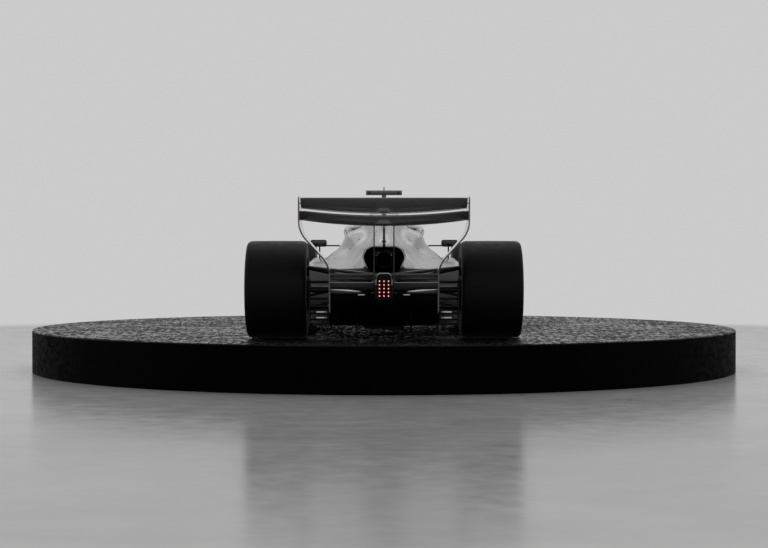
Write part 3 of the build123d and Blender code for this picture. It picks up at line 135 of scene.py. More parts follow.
def maths(tree, operation, first, second=None):
    """One maths step on sockets or numbers."""
    made = node(tree, "ShaderNodeMath", operation=operation)
    for place, value in ((0, first), (1, second)):
        if value is None:
            continue
        if isinstance(value, (int, float)):
            made.inputs[place].default_value = value
        else:
            tree.links.new(value, made.inputs[place])
    return made.outputs[0]


def blend(tree, *weighted):
    """Sum of (value, weight) pairs."""
    total = 0.0
    for value, weight in weighted:
        total = maths(tree, "ADD", maths(tree, "MULTIPLY", value, weight), total)
    return total


def mixed(tree, factor, first, second):
    """Colour between two, by a factor socket."""
    made = node(tree, "ShaderNodeMix", data_type="RGBA")
    tree.links.new(factor, made.inputs["Factor"])
    tree.links.new(first, made.inputs["A"])
    tree.links.new(second, made.inputs["B"])
    return made.outputs["Result"]


def feed(tree, shader, colour, gloss):
    """Link colour and roughness sockets to the shader."""
    tree.links.new(colour, shader.inputs["Base Color"])
    tree.links.new(gloss, shader.inputs["Roughness"])


# Finishes: tone and rough are pairs, from the darkest and glossiest to the lightest and dullest places
PANEL_JOINTS = (-1.47, -0.63, 0.16, 1.14, 2.20)
PANEL_GAP = 0.0016
# Lower edge of the silver, under which the body is near-black, partly a carbon lower body and partly painted shade:
# fall per metre forward, and height at the origin
BODY_SPLIT = (0.02, level(0.475))
NOSE_SPLIT = (0.231, level(0.823))
TAIL_SPLIT = (0.0, level(0.400))
# Weave: width of a tow, a start that keeps the count of tows above zero, and the twill's repeat and float
TOW = 0.0025
TOW_START = 40000.0
TWILL_REPEAT = 4.0
TWILL_FLOAT = 1.5
BELT_RIBS = 2600.0


def paint(name, tone, metallic, rough, split=None):
    """Satin metallic paint with fine flake, clouding and panel joints, and if split a dark lower body, partly two-tone
    carbon and partly painted shade.
    """
    made, tree, shader = material(name)
    flake = noise(tree, scale=900.0, detail=2.0)
    cloud = noise(tree, scale=1.7, detail=3.0)
    streak = noise(tree, scale=5.0, detail=3.0, roughness=0.5, stretch=(1.0, 0.22, 1.0))
    shades = blend(tree, (flake, 0.06), (cloud, 0.60), (streak, 0.34))
    silver = ramp(tree, shades, (0.32, tone[0]), (0.68, tone[1]))
    along, up = axes(tree)[1:3]
    joint = 0.0
    for place in PANEL_JOINTS:
        apart = maths(tree, "ABSOLUTE", maths(tree, "SUBTRACT", along, place))
        joint = maths(tree, "MAXIMUM", maths(tree, "LESS_THAN", apart, PANEL_GAP), joint)
    dark = ramp(tree, flake, (0.3, 0.008), (0.7, 0.016))
    colour = mixed(tree, joint, silver, dark)
    gloss = ramp(tree, noise(tree, scale=14.0, detail=5.0), (0.3, rough[0]), (0.75, rough[1]))
    shader.inputs["Metallic"].default_value = metallic
    # Near-black below the line: partly a carbon lower body, partly painted shade under the body's shoulders
    if split:
        slope, height = split
        line = maths(tree, "ADD", maths(tree, "MULTIPLY", along, slope), up)
        below = maths(tree, "LESS_THAN", line, height)
        colour = mixed(tree, below, colour, dark)
        bare = maths(tree, "SUBTRACT", 1.0, below)
        tree.links.new(maths(tree, "MULTIPLY", bare, metallic), shader.inputs["Metallic"])
        gloss = mixed(tree, below, gloss, ramp(tree, flake, (0.3, 0.62), (0.7, 0.80)))
    feed(tree, shader, colour, gloss)
    shader.inputs["Specular IOR Level"].default_value = 0.2
    bump(tree, shader, maths(tree, "SUBTRACT", 1.0, joint), strength=0.30, distance=0.0008)
    return made


def carbon(name, tone, rough, coat, coat_rough=0.12):
    """Twill woven carbon composite under resin."""
    made, tree, shader = material(name)
    count = TOW_START
    for place in axes(tree):
        tow = maths(tree, "FLOOR", maths(tree, "MULTIPLY", place, 1.0 / TOW))
        count = maths(tree, "ADD", tow, count)
    twill = maths(tree, "LESS_THAN", maths(tree, "MODULO", count, TWILL_REPEAT), TWILL_FLOAT)
    fibre = noise(tree, scale=260.0, detail=3.0)
    cloud = noise(tree, scale=2.3, detail=4.0)
    shades = blend(tree, (twill, 0.16), (fibre, 0.34), (cloud, 0.50))
    feed(tree, shader, ramp(tree, shades, (0.15, tone[0]), (0.85, tone[1])),
         ramp(tree, cloud, (0.3, rough[0]), (0.7, rough[1])))
    shader.inputs["Specular IOR Level"].default_value = 0.3
    shader.inputs["Coat Weight"].default_value = coat
    shader.inputs["Coat Roughness"].default_value = coat_rough
    bump(tree, shader, twill, strength=0.03, distance=0.0002)
    return made


def rubber(name):
    """Slick racing rubber, scuffed and finely pitted, with a dusty sheen."""
    made, tree, shader = material(name)
    grain = noise(tree, scale=420.0, detail=6.0, roughness=0.7)
    scuff = noise(tree, scale=22.0, detail=6.0, roughness=0.62, distortion=0.6)
    shades = blend(tree, (grain, 0.4), (scuff, 0.6))
    feed(tree, shader, ramp(tree, shades, (0.30, 0.002), (0.62, 0.005), (0.80, 0.011)),
         ramp(tree, scuff, (0.30, 0.46), (0.75, 0.70)))
    shader.inputs["Specular IOR Level"].default_value = 0.10
    shader.inputs["Sheen Weight"].default_value = 0.16
    shader.inputs["Sheen Roughness"].default_value = 0.25
    bump(tree, shader, shades, strength=0.30, distance=0.0010)
    return made


def metal(name, tone, rough, scale, metallic=0.9):
    """Machined or cast metal with a light mottle."""
    made, tree, shader = material(name)
    mottle = noise(tree, scale, detail=5.0, roughness=0.6)
    feed(tree, shader, ramp(tree, mottle, (0.3, tone[0]), (0.7, tone[1])),
         ramp(tree, mottle, (0.25, rough[1]), (0.75, rough[0])))
    shader.inputs["Metallic"].default_value = metallic
    bump(tree, shader, mottle, strength=0.08, distance=0.0006)
    return made


def matt(name, tone, rough, scale, depth=0.0008, specular=0.25):
    """Moulded surface with a fine grain."""
    made, tree, shader = material(name)
    grain = noise(tree, scale, detail=5.0, roughness=0.6)
    feed(tree, shader, ramp(tree, grain, (0.3, tone[0]), (0.7, tone[1])),
         ramp(tree, grain, (0.3, rough[0]), (0.7, rough[1])))
    shader.inputs["Specular IOR Level"].default_value = specular
    bump(tree, shader, grain, strength=0.25, distance=depth)
    return made


def webbing(name):
    """Flat woven belt: fine ribs across the strap."""
    made, tree, shader = material(name)
    along, up = axes(tree)[1:3]
    rib = maths(tree, "SINE", maths(tree, "MULTIPLY", maths(tree, "ADD", along, up), BELT_RIBS))
    fibre = noise(tree, scale=700.0, detail=3.0)
    shades = blend(tree, (rib, 0.20), (fibre, 0.60))
    feed(tree, shader, ramp(tree, shades, (0.1, 0.020), (0.6, 0.060)),
         ramp(tree, fibre, (0.3, 0.7), (0.7, 0.9)))
    bump(tree, shader, rib, strength=0.4, distance=0.0006)
    return made


def glowing(name, tone, strength):
    """Lit lamp lens, mottled like a moulded diffuser."""
    made, tree, shader = material(name)
    core = ramp(tree, noise(tree, scale=240.0, detail=2.0), (0.3, tone[0]), (0.7, tone[1]))
    feed(tree, shader, core, ramp(tree, noise(tree, scale=90.0, detail=2.0), (0.3, 0.16), (0.7, 0.28)))
    tree.links.new(core, shader.inputs["Emission Color"])
    shader.inputs["Emission Strength"].default_value = strength
    return made


def grained(name, stops, rough, specular, depth):
    """Dark stage covering: coarse grain over wide worn patches."""
    made, tree, shader = material(name)
    grit = noise(tree, scale=27.0, detail=10.0, roughness=0.72, stretch=(1.0, 0.24, 1.0))
    patch = noise(tree, scale=2.6, detail=6.0, roughness=0.66, distortion=0.4)
    shades = blend(tree, (grit, 0.74), (patch, 0.26))
    feed(tree, shader, ramp(tree, shades, *stops), ramp(tree, shades, (0.45, rough[0]), (0.57, rough[1])))
    shader.inputs["Specular IOR Level"].default_value = specular
    bump(tree, shader, grit, strength=0.60, distance=depth)
    return made


SILVER_LOOK = {"tone": (0.24, 0.36), "metallic": 0.88, "rough": (0.16, 0.25)}
SILVER = paint("paint_silver", **SILVER_LOOK)
BODY_SILVER = paint("paint_silver_body", **SILVER_LOOK, split=BODY_SPLIT)
NOSE_SILVER = paint("paint_silver_nose", **SILVER_LOOK, split=NOSE_SPLIT)
TAIL_SILVER = paint("paint_silver_tail", **SILVER_LOOK, split=TAIL_SPLIT)
CARBON = carbon("carbon_satin", tone=(0.010, 0.024), rough=(0.30, 0.44), coat=0.25)
# Darker copy of the satin carbon: painted shade on the rear uprights and their winglet stacks
PAINTED_SHADOW_CARBON = carbon("carbon_painted_shadow", tone=(0.003, 0.008), rough=(0.45, 0.60), coat=0.05)
WING = carbon("carbon_charcoal", tone=(0.094, 0.150), rough=(0.22, 0.30), coat=1.0)
FRONT_WING = carbon("carbon_front", tone=(0.034, 0.060), rough=(0.28, 0.40), coat=0.50)
BEAM = carbon("carbon_beam", tone=(0.110, 0.170), rough=(0.24, 0.34), coat=0.80, coat_rough=0.06)
# Near-black without gloss: painted shade for faces in hollows and for rear-facing faces
PAINTED_SHADOW_BLACK = matt("painted_shadow_black", tone=(0.001, 0.003), rough=(0.85, 1.0), scale=160.0, specular=0.0)
RUBBER = rubber("slick_rubber")
RIM = metal("rim_satin_black", tone=(0.020, 0.042), rough=(0.32, 0.46), scale=60.0)
MACHINED = metal("rim_machined", tone=(0.20, 0.30), rough=(0.22, 0.34), scale=150.0)
# Bright metal: painted highlight for the strips behind the diffuser and on the winglets
PAINTED_HIGHLIGHT_METAL = metal("painted_highlight_metal", tone=(0.50, 0.66), rough=(0.20, 0.32), scale=150.0)
STEEL = metal("dark_steel", tone=(0.12, 0.20), rough=(0.26, 0.42), scale=130.0)
EXHAUST = metal("heat_tinted", tone=((0.006, 0.004, 0.003), (0.014, 0.011, 0.010)), rough=(0.60, 0.80),
                scale=22.0, metallic=0.3)
CAMERA_SHELL = matt("camera_shell", tone=(0.090, 0.150), rough=(0.35, 0.50), scale=200.0)
CAST = matt("cast_block", tone=(0.008, 0.018), rough=(0.6, 0.8), scale=90.0, specular=0.1)
PLANK = matt("plank_laminate", tone=((0.05, 0.035, 0.022), (0.10, 0.075, 0.05)), rough=(0.6, 0.8), scale=40.0)
TRIM = matt("headrest_skin", tone=(0.014, 0.028), rough=(0.55, 0.72), scale=300.0)
PADDING = matt("pad_leather", tone=(0.020, 0.040), rough=(0.50, 0.68), scale=420.0, depth=0.0012)
BELT = webbing("belt_webbing")
GRIP = matt("grip_rubber", tone=(0.010, 0.022), rough=(0.65, 0.85), scale=500.0, depth=0.0012)
GLASS = metal("mirror_glass", tone=((0.030, 0.033, 0.038), (0.045, 0.048, 0.054)), rough=(0.03, 0.06), scale=3.0)
SCREEN = matt("display_glass", tone=((0.010, 0.016, 0.022), (0.016, 0.026, 0.036)), rough=(0.08, 0.14),
              scale=40.0, depth=0.0001, specular=0.5)
DEFLECTOR = matt("deflector_tint", tone=((0.020, 0.022, 0.025), (0.035, 0.038, 0.042)), rough=(0.10, 0.18),
                 scale=8.0, depth=0.0001, specular=0.5)
BUTTON = matt("button_grey", tone=(0.16, 0.26), rough=(0.40, 0.55), scale=260.0)
BUTTON_RED = matt("button_red", tone=((0.34, 0.020, 0.015), (0.46, 0.035, 0.025)), rough=(0.35, 0.50), scale=260.0)
HOUSING = matt("lamp_housing", tone=(0.002, 0.005), rough=(0.45, 0.60), scale=120.0, specular=0.08)
LED_RING = glowing("led_red", tone=((0.30, 0.004, 0.003), (0.42, 0.008, 0.006)), strength=0.30)
LED_CORE = glowing("led_core", tone=((1.0, 0.42, 0.36), (1.0, 0.60, 0.52)), strength=1.2)
LAMP = glowing("lamp_red", tone=((0.16, 0.012, 0.008), (0.24, 0.022, 0.014)), strength=0.25)
PLINTH = grained("plinth_top", stops=((0.40, 0.0008), (0.49, 0.0015), (0.55, 0.005), (0.64, 0.020)),
                 rough=(0.17, 0.80), specular=0.10, depth=0.006)
PLINTH_SIDE = grained("plinth_side", stops=((0.40, 0.0005), (0.60, 0.0014)), rough=(0.55, 0.75),
                      specular=0.02, depth=0.0004)

SLOT_FINISH = {
    "plinth_black": PLINTH, "body_silver": SILVER, "wing_dark": WING, "carbon": CARBON, "plank": PLANK,
    "cast_block": CAST, "exhaust_metal": EXHAUST, "headrest_trim": TRIM, "light_housing": HOUSING,
    "lamp_red": LAMP, "tyre": RUBBER, "rim_metal": RIM, "shaft_steel": STEEL,
}
NODE_FINISH = {
    "engine_cover": BODY_SILVER, "safety_cell": BODY_SILVER, "sidepod_left": BODY_SILVER,
    "sidepod_right": BODY_SILVER, "nose_cone": NOSE_SILVER, "tail_structure": TAIL_SILVER, "beam_wing": BEAM,
    "camera_bar": CAMERA_SHELL, "front_wing_main": FRONT_WING, "front_wing_flaps": FRONT_WING,
    "drive_shaft_left": RIM, "drive_shaft_right": RIM, "rear_upright_left": PAINTED_SHADOW_CARBON, "rear_upright_right": PAINTED_SHADOW_CARBON,
}
EDGE_ANGLE = math.radians(32.0)


def soften(shape):
    """Smooth shading with crisp edges."""
    for face in shape.data.polygons:
        face.use_smooth = True
    split = shape.modifiers.new("edges", "EDGE_SPLIT")
    split.split_angle = EDGE_ANGLE


for part in RECORD["subparts"]:
    solid = NODES[part["node"]]
    solid.data.materials.clear()
    solid.data.materials.append(NODE_FINISH.get(part["node"], SLOT_FINISH[part["material_slot"]]))
    soften(solid)

# Second finishes on faces of the CAD nodes: painted shade in ducts and on rear walls, dark fin and inner walls, and a
# painted highlight on the beam edge
TREES = {}
WAYS_OUT = [Vector(way).normalized() for way in (
    (0.0, 0.0, 1.0), (-1.0, 0.0, 0.25), (1.0, 0.0, 0.25), (-0.6, 0.0, 1.0), (0.6, 0.0, 1.0))]
SKIN = 0.0005
STRAIGHT = 0.9
STEEP = 0.5
FIN_HALF = 0.0084
COVER_END_Y = -1.8835
CELL_AXIS = level(0.38)
COCKPIT_HALF = 0.21
COCKPIT_REAR_Y = -0.50
CELL_WALL_Y = -0.55
BEAM_HIGHLIGHT_TOP = level(0.44)


def recolour(name, finish, test):
    """Second finish for the faces that pass a test on centre, normal and reach from the car's middle."""
    mesh = NODES[name].data
    mesh.materials.append(finish)
    index = len(mesh.materials) - 1
    for face in mesh.polygons:
        reach = max(abs(mesh.vertices[corner].co.x) for corner in face.vertices)
        if test(face.center, face.normal, reach):
            face.material_index = index


def tree_of(name):
    """Search tree over the faces of a CAD node."""
    if name not in TREES:
        mesh = NODES[name].data
        TREES[name] = BVHTree.FromPolygons(
            [vertex.co for vertex in mesh.vertices], [list(face.vertices) for face in mesh.polygons])
    return TREES[name]


def enclosed(name):
    """Test for faces inside a CAD node's hollow: every way up and out meets the node itself."""
    tree = tree_of(name)
    return lambda c, n, r: all(tree.ray_cast(c + n * SKIN, way)[0] is not None for way in WAYS_OUT)


def in_cockpit(c, n, r):
    """Test for the cell's inner faces, which look towards its axis."""
    inward = n.x * c.x + n.z * (c.z - CELL_AXIS) < 0.0
    return inward and abs(c.x) < COCKPIT_HALF and c.y > COCKPIT_REAR_Y


recolour("display_plinth", PLINTH_SIDE, lambda c, n, r: n.z < STEEP)
recolour("engine_cover", CARBON, lambda c, n, r: r < FIN_HALF or c.y < COVER_END_Y)
# Painted shade: near-black on faces inside the cover's hollow
recolour("engine_cover", PAINTED_SHADOW_BLACK, enclosed("engine_cover"))
recolour("safety_cell", CARBON, in_cockpit)
# Painted highlight: silver paint on the beam wing's low rear-facing faces
recolour("beam_wing", SILVER, lambda c, n, r: n.y < -STRAIGHT and c.z < BEAM_HIGHLIGHT_TOP)
# Painted shade: near-black on the cell's and the diffuser's rear-facing faces
recolour("safety_cell", PAINTED_SHADOW_BLACK, lambda c, n, r: n.y < -STRAIGHT and c.y < CELL_WALL_Y)
recolour("diffuser", PAINTED_SHADOW_BLACK, lambda c, n, r: n.y < -STRAIGHT)
# Painted shade: near-black on faces inside each sidepod's hollow
for side in SIDES:
    recolour("sidepod_" + side, PAINTED_SHADOW_BLACK, enclosed("sidepod_" + side))


# Mesh helpers: every shape is a pair of vertices and faces
def joined(shapes):
    """One pair of vertices and faces from several."""
    verts, faces = [], []
    for more, loops in shapes:
        start = len(verts)
        verts.extend(more)
        faces.extend([start + index for index in loop] for loop in loops)
    return verts, faces


def skinned(loops, ring=False):
    """Surface over loops of equally many points, with capped ends or closed to a ring."""
    count, sides = len(loops), len(loops[0])
    verts = [point for loop in loops for point in loop]
    faces = []
    for i in range(count if ring else count - 1):
        j = (i + 1) % count
        for k in range(sides):
            n = (k + 1) % sides
            faces.append([i * sides + k, i * sides + n, j * sides + n, j * sides + k])
    if not ring:
        faces.append(list(range(sides)))
        faces.append(list(range((count - 1) * sides, count * sides)))
    return verts, faces


def frame_of(axis):
    """Unit axis and two unit vectors square to it."""
    axis = Vector(axis).normalized()
    other = Vector(UP) if abs(axis.z) < STRAIGHT else -Vector(REAR)
    first = axis.cross(other).normalized()
    return axis, first, axis.cross(first)


def circle(centre, first, second, radius, sides):
    """Points round a centre, in the plane of two unit vectors."""
    turns = [2.0 * math.pi * k / sides for k in range(sides)]
    return [centre + (first * math.cos(turn) + second * math.sin(turn)) * radius for turn in turns]


def lathe(profile, centre, axis, sides, ring=False):
    """Turned shape: profile of (place along the axis, radius)."""
    axis, first, second = frame_of(axis)
    centre = Vector(centre)
    return skinned([circle(centre + axis * place, first, second, radius, sides) for place, radius in profile], ring)


def slab(outline, place, depth):
    """Plate from an outline; place turns (u, v, w) into a point, and w runs from 0 to depth."""
    return skinned([[place(u, v, w) for u, v in outline] for w in (0.0, depth)])


def upright(x, y, z, way, mirror=1.0):
    """Places for an upright outline at a point, with its depth along the car."""
    return lambda u, v, w: Vector((x + mirror * u, y + way * w, z + v))


def rounded(width, height, radius, steps=5):
    """Outline of a rectangle with round corners, about its middle."""
    outline = []
    for quarter, (sx, sy) in enumerate(((1, 1), (-1, 1), (-1, -1), (1, -1))):
        for k in range(steps + 1):
            angle = math.pi / 2 * (quarter + k / steps)
            outline.append((sx * (width / 2 - radius) + radius * math.cos(angle),
                            sy * (height / 2 - radius) + radius * math.sin(angle)))
    return outline


def headings(points):
    """Way along a line at each of its points."""
    last = len(points) - 1
    return [points[min(i + 1, last)] - points[max(i - 1, 0)] for i in range(len(points))]


def tube(points, radius, sides=10):
    """Round bar along points."""
    points = [Vector(point) for point in points]
    loops = []
    for point, ahead in zip(points, headings(points)):
        first, second = frame_of(ahead)[1:]
        loops.append(circle(point, first, second, radius, sides))
    return skinned(loops)


def strap(points, across, width, thick):
    """Flat band along points, lying across the given direction."""
    across = Vector(across).normalized()
    half = across * width / 2
    loops = []
    for point, ahead in zip(points, headings(points)):
        up = ahead.normalized().cross(across).normalized() * thick
        loops.append([point - half, point + half, point + half + up, point - half + up])
    return skinned(loops)


def piece(name, shape, finish, body, bevel=0.0, smooth=0):
    """New object from a shape, riding on a body."""
    mesh = bpy.data.meshes.new(name)
    mesh.from_pydata([tuple(point) for point in shape[0]], [], shape[1])
    made = bpy.data.objects.new(name, mesh)
    bpy.context.scene.collection.objects.link(made)
    edit = bmesh.new()
    edit.from_mesh(mesh)
    bmesh.ops.recalc_face_normals(edit, faces=edit.faces)
    edit.to_mesh(mesh)
    edit.free()
    mesh.materials.append(finish)
    if bevel:
        edges = made.modifiers.new("bevel", "BEVEL")
        edges.width = bevel
        edges.segments = 2
        edges.limit_method = "ANGLE"
        edges.angle_limit = EDGE_ANGLE
    if smooth:
        rounding = made.modifiers.new("smooth", "SUBSURF")
        rounding.levels = smooth
        rounding.render_levels = smooth
    soften(made)
    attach(made, body)
    return made


def seat_on(name, origin, direction):
    """First point of a CAD node met from an origin, with the surface normal."""
    place, normal = tree_of(name).ray_cast(Vector(origin), Vector(direction).normalized())[:2]
    if place is not None and normal.dot(Vector(direction)) > 0.0:
        normal = -normal
    return place, normal


# Tyres in the place of the plain CAD tyres, with rim lips, hub bolts and wheel nuts
TYRE_SIDES = 160
TREAD_CROWN = 0.0004
SHOULDER_STEPS = 9
SHOULDER_START = (0.004, 0.001)
SHOULDER_INSET = 0.044
SHOULDER_DROP = 0.030
BEAD_RADIUS = 0.229
# Sidewall ridges as (inset from the side, drop from the tread), bead as (inset, rise from the bead's radius)
SIDEWALL = ((0.0020, 0.042), (0.0036, 0.044), (0.0036, 0.047), (0.0012, 0.049), (0.0, 0.066), (0.0004, 0.084),
            (0.0022, 0.086), (0.0022, 0.089), (0.0008, 0.091))
BEAD = ((0.0030, 0.020), (0.0010, 0.014), (0.0020, 0.008), (0.0080, 0.003), (0.0148, 0.0002))
RIM_INSET = 0.015
HUB_INSET = 0.045
RIM_SIDES = 120
RIM_LIP = ((-0.002, 0.2170), (0.0030, 0.2178), (0.0045, 0.2210), (0.0045, 0.2255), (0.0030, 0.2282),
           (-0.002, 0.2286))
HEX = 6
NUT = ((0.024, 0.0330), (0.036, 0.0310), (0.038, 0.0280), (0.038, 0.0170), (0.024, 0.0170))
WASHER = ((0.0255, 0.0390), (0.0275, 0.0398), (0.0290, 0.0380), (0.0255, 0.0345))
WASHER_SIDES = 48
BOLT = ((-0.002, 0.0062), (0.0035, 0.0062), (0.0045, 0.0048), (0.0045, 0.0026), (0.0015, 0.0024))
BOLT_COUNT = 10
BOLT_CIRCLE = 0.0655


def tyre_profile(half, outer):
    """Half section from the tread's middle to the bead."""
    edge, drop = SHOULDER_START
    section = [(0.0, outer), (0.5 * half, outer - TREAD_CROWN)]
    for k in range(SHOULDER_STEPS + 1):
        angle = math.pi / 2 * k / SHOULDER_STEPS
        section.append((half - edge - SHOULDER_INSET * (1.0 - math.sin(angle)),
                        outer - drop - SHOULDER_DROP * (1.0 - math.cos(angle))))
    section += [(half - inset, outer - fall) for inset, fall in SIDEWALL]
    section += [(half - inset, BEAD_RADIUS + rise) for inset, rise in BEAD]
    return section


for end in ("front", "rear"):
    for side, sign in SIDES.items():
        wheel = f"wheel_{end}_{side}"
        low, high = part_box(f"tyre_{end}_{side}")
        hub = JOINTS[wheel + "_spin"]["pos_m"]
        half_width = (high[0] - low[0]) / 2
        half = tyre_profile(half_width, high[2] - hub[2])
        section = [(-place, radius) for place, radius in reversed(half[1:])] + half
        centre = Vector(((low[0] + high[0]) / 2, hub[1], hub[2]))
        skin = lathe(section, centre, RIGHT, TYRE_SIDES, True)
        made = piece(f"tyre_skin_{end}_{side}", skin, RUBBER, wheel)
        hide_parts(f"tyre_{end}_{side}")

        out = Vector((sign, 0.0, 0.0))
        rim = centre + out * (half_width - RIM_INSET)
        face = rim - out * HUB_INSET
        nut = [lathe(NUT, face, out, HEX, True), lathe(WASHER, face, out, WASHER_SIDES, True)]
        for k in range(BOLT_COUNT):
            angle = 2.0 * math.pi * (k + 0.5) / BOLT_COUNT
            spot = face + Vector((0.0, math.cos(angle), math.sin(angle))) * BOLT_CIRCLE
            nut.append(lathe(BOLT, spot, out, HEX))
        piece(f"rim_lip_{end}_{side}", lathe(RIM_LIP, rim, out, RIM_SIDES, True), MACHINED, wheel)
        piece(f"wheel_nut_{end}_{side}", joined(nut), STEEL, wheel)

# Rain light: a collar, a lens and a bright core over each stud
LED_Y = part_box("rain_light")[0][1] + 0.0042
LED_LEVEL = 0.377
LED_ROW = 0.0255
LED_COLUMN = 0.031
LED_COLLAR = ((-0.0010, 0.0096), (0.0034, 0.0094), (0.0044, 0.0086), (0.0036, 0.0074), (-0.0010, 0.0074))
LED_LENS = ((-0.0010, 0.0073), (0.0044, 0.0072), (0.0058, 0.0060), (0.0064, 0.0040))
LED_TIP = ((0.0050, 0.0039), (0.0068, 0.0038), (0.0078, 0.0028), (0.0083, 0.0012))
leds = [(column * LED_COLUMN, LED_Y, level(LED_LEVEL) + row * LED_ROW)
        for row in range(-2, 3) for column in range(-1, 2)]
collars = joined(lathe(LED_COLLAR, spot, REAR, 20, True) for spot in leds)
lenses = joined(lathe(LED_LENS, spot, REAR, 20) for spot in leds)
tips = joined(lathe(LED_TIP, spot, REAR, 16) for spot in leds)
piece("rain_light_collars", collars, HOUSING, "chassis")
piece("rain_light_lenses", lenses, LED_RING, "chassis")
piece("rain_light_cores", tips, LED_CORE, "chassis")

# Mirror glass in its recess
MIRROR_X = 0.561
MIRROR_Y = 0.3384
MIRROR_LEVEL = 0.702
MIRROR_OUTLINE = rounded(0.1296, 0.0476, 0.0118)
MIRROR_DEPTH = 0.0035
for side, sign in SIDES.items():
    place = upright(sign * MIRROR_X, MIRROR_Y, level(MIRROR_LEVEL), BACKWARD)
    piece(f"mirror_glass_{side}", slab(MIRROR_OUTLINE, place, MIRROR_DEPTH), GLASS, "chassis", bevel=0.0008)

# Radiator cores at the back of the inlets: upright bars and level rails
CORE_Y = 0.2695
BAR_COUNT = 25
BAR_FIRST_X = 0.354
BAR_PITCH = 0.0112
BAR_LEVEL = 0.491
BAR_OUTLINE = rounded(0.0022, 0.112, 0.0005, 1)
BAR_DEPTH = 0.010
RAIL_COUNT = 5
RAIL_X = 0.4885
RAIL_FIRST_LEVEL = 0.447
RAIL_PITCH = 0.022
RAIL_OUTLINE = rounded(0.276, 0.0050, 0.0012, 1)
RAIL_DEPTH = 0.012
for side, sign in SIDES.items():
    bars = []
    for k in range(BAR_COUNT):
        place = upright(sign * (BAR_FIRST_X + BAR_PITCH * k), CORE_Y, level(BAR_LEVEL), FORWARD)
        bars.append(slab(BAR_OUTLINE, place, BAR_DEPTH))
    for k in range(RAIL_COUNT):
        place = upright(sign * RAIL_X, CORE_Y, level(RAIL_FIRST_LEVEL + RAIL_PITCH * k), FORWARD)
        bars.append(slab(RAIL_OUTLINE, place, RAIL_DEPTH))
    piece(f"inlet_core_{side}", joined(bars), STEEL, "chassis")

# Steering wheel: display, keys, dials, shift lamps, grips and paddles
WHEEL_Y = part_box("steering_wheel")[0][1]
WHEEL_Z = JOINTS["steering_wheel_turn"]["pos_m"][2]
SINK = 0.002
DISPLAY_Z = 0.022
DISPLAY_OUTLINE = rounded(0.104, 0.056, 0.006)
DISPLAY_DEPTH = 0.005
BEZEL_OUTLINE = rounded(0.114, 0.066, 0.008)
BEZEL_DEPTH = 0.0035
KEY = ((-0.001, 0.0080), (0.005, 0.0078), (0.0065, 0.0062), (0.0058, 0.0040))
KEY_SIDES = 18
KEY_PLACES = ((0.074, 0.056), (0.074, 0.028), (0.074, 0.000), (0.100, 0.050), (0.094, -0.042))
RED_ON_LEFT = (0, 4)
DIAL = ((-0.001, 0.0135), (0.003, 0.0132), (0.004, 0.0098), (0.013, 0.0090), (0.0145, 0.0074))
DIAL_SIDES = 12
DIAL_X = (-0.040, 0.0, 0.040)
DIAL_Z = -0.042
POINTER_OUTLINE = rounded(0.0024, 0.0150, 0.0008, 1)
POINTER_Z = -0.040
POINTER_DEPTH = 0.0172
SHIFT_LAMP = ((-0.001, 0.0036), (0.0025, 0.0034), (0.0038, 0.0018))
SHIFT_COUNT = 9
SHIFT_PITCH = 0.0115
SHIFT_Z = 0.064
GRIP_STEPS = 12
GRIP_X = 0.1185
GRIP_BOW = 0.010
GRIP_DEEP = 0.015
GRIP_HALF = 0.058
GRIP_RADIUS = 0.0160
PADDLE_OUTLINE = rounded(0.060, 0.046, 0.012)
PADDLE_AT = (0.085, 0.044, 0.006)
PADDLE_DEPTH = 0.004
STEM = ((0.060, 0.030), (0.066, 0.046))
STEM_RADIUS = 0.006


def on_wheel(x, z):
    """Places for an outline on the wheel's face, with its depth towards the driver."""
    return upright(x, WHEEL_Y + SINK, WHEEL_Z + z, BACKWARD)


display = slab(DISPLAY_OUTLINE, on_wheel(0.0, DISPLAY_Z), DISPLAY_DEPTH)
piece("wheel_display", display, SCREEN, "steering_wheel", bevel=0.001)
bezel = slab(BEZEL_OUTLINE, on_wheel(0.0, DISPLAY_Z), BEZEL_DEPTH)
piece("wheel_bezel", bezel, GRIP, "steering_wheel", bevel=0.0008)
keys, red_keys, dials, shift_lamps, grips, paddles = [], [], [], [], [], []
for side, sign in SIDES.items():
    for k, (x, z) in enumerate(KEY_PLACES):
        owner = red_keys if side == "left" and k in RED_ON_LEFT else keys
        owner.append(lathe(KEY, (sign * x, WHEEL_Y, WHEEL_Z + z), REAR, KEY_SIDES))
    path = []
    for k in range(GRIP_STEPS + 1):
        t = k / GRIP_STEPS
        x = GRIP_X - GRIP_BOW * math.sin(math.pi * t)
        path.append((sign * x, WHEEL_Y + GRIP_DEEP, WHEEL_Z + GRIP_HALF * (2.0 * t - 1.0)))
    grips.append(tube(path, GRIP_RADIUS, 16))
    x, deep, z = PADDLE_AT
    paddles.append(slab(PADDLE_OUTLINE, upright(sign * x, WHEEL_Y + deep, WHEEL_Z + z, FORWARD), PADDLE_DEPTH))
    paddles.append(tube([(sign * x, WHEEL_Y + deep, WHEEL_Z) for x, deep in STEM], STEM_RADIUS))
for x in DIAL_X:
    dials.append(lathe(DIAL, (x, WHEEL_Y, WHEEL_Z + DIAL_Z), REAR, DIAL_SIDES))
    dials.append(slab(POINTER_OUTLINE, on_wheel(x, POINTER_Z), POINTER_DEPTH))
for k in range(SHIFT_COUNT):
    x = SHIFT_PITCH * (k - SHIFT_COUNT // 2)
    shift_lamps.append(lathe(SHIFT_LAMP, (x, WHEEL_Y, WHEEL_Z + SHIFT_Z), REAR, 12))
piece("wheel_keys", joined(keys), BUTTON, "steering_wheel")
piece("wheel_keys_red", joined(red_keys), BUTTON_RED, "steering_wheel")
piece("wheel_dials", joined(dials), GRIP, "steering_wheel")
piece("wheel_shift_lamps", joined(shift_lamps), LED_RING, "steering_wheel")
piece("wheel_grips", joined(grips), GRIP, "steering_wheel", bevel=0.003)
piece("wheel_paddles", joined(paddles), CARBON, "steering_wheel", bevel=0.001)

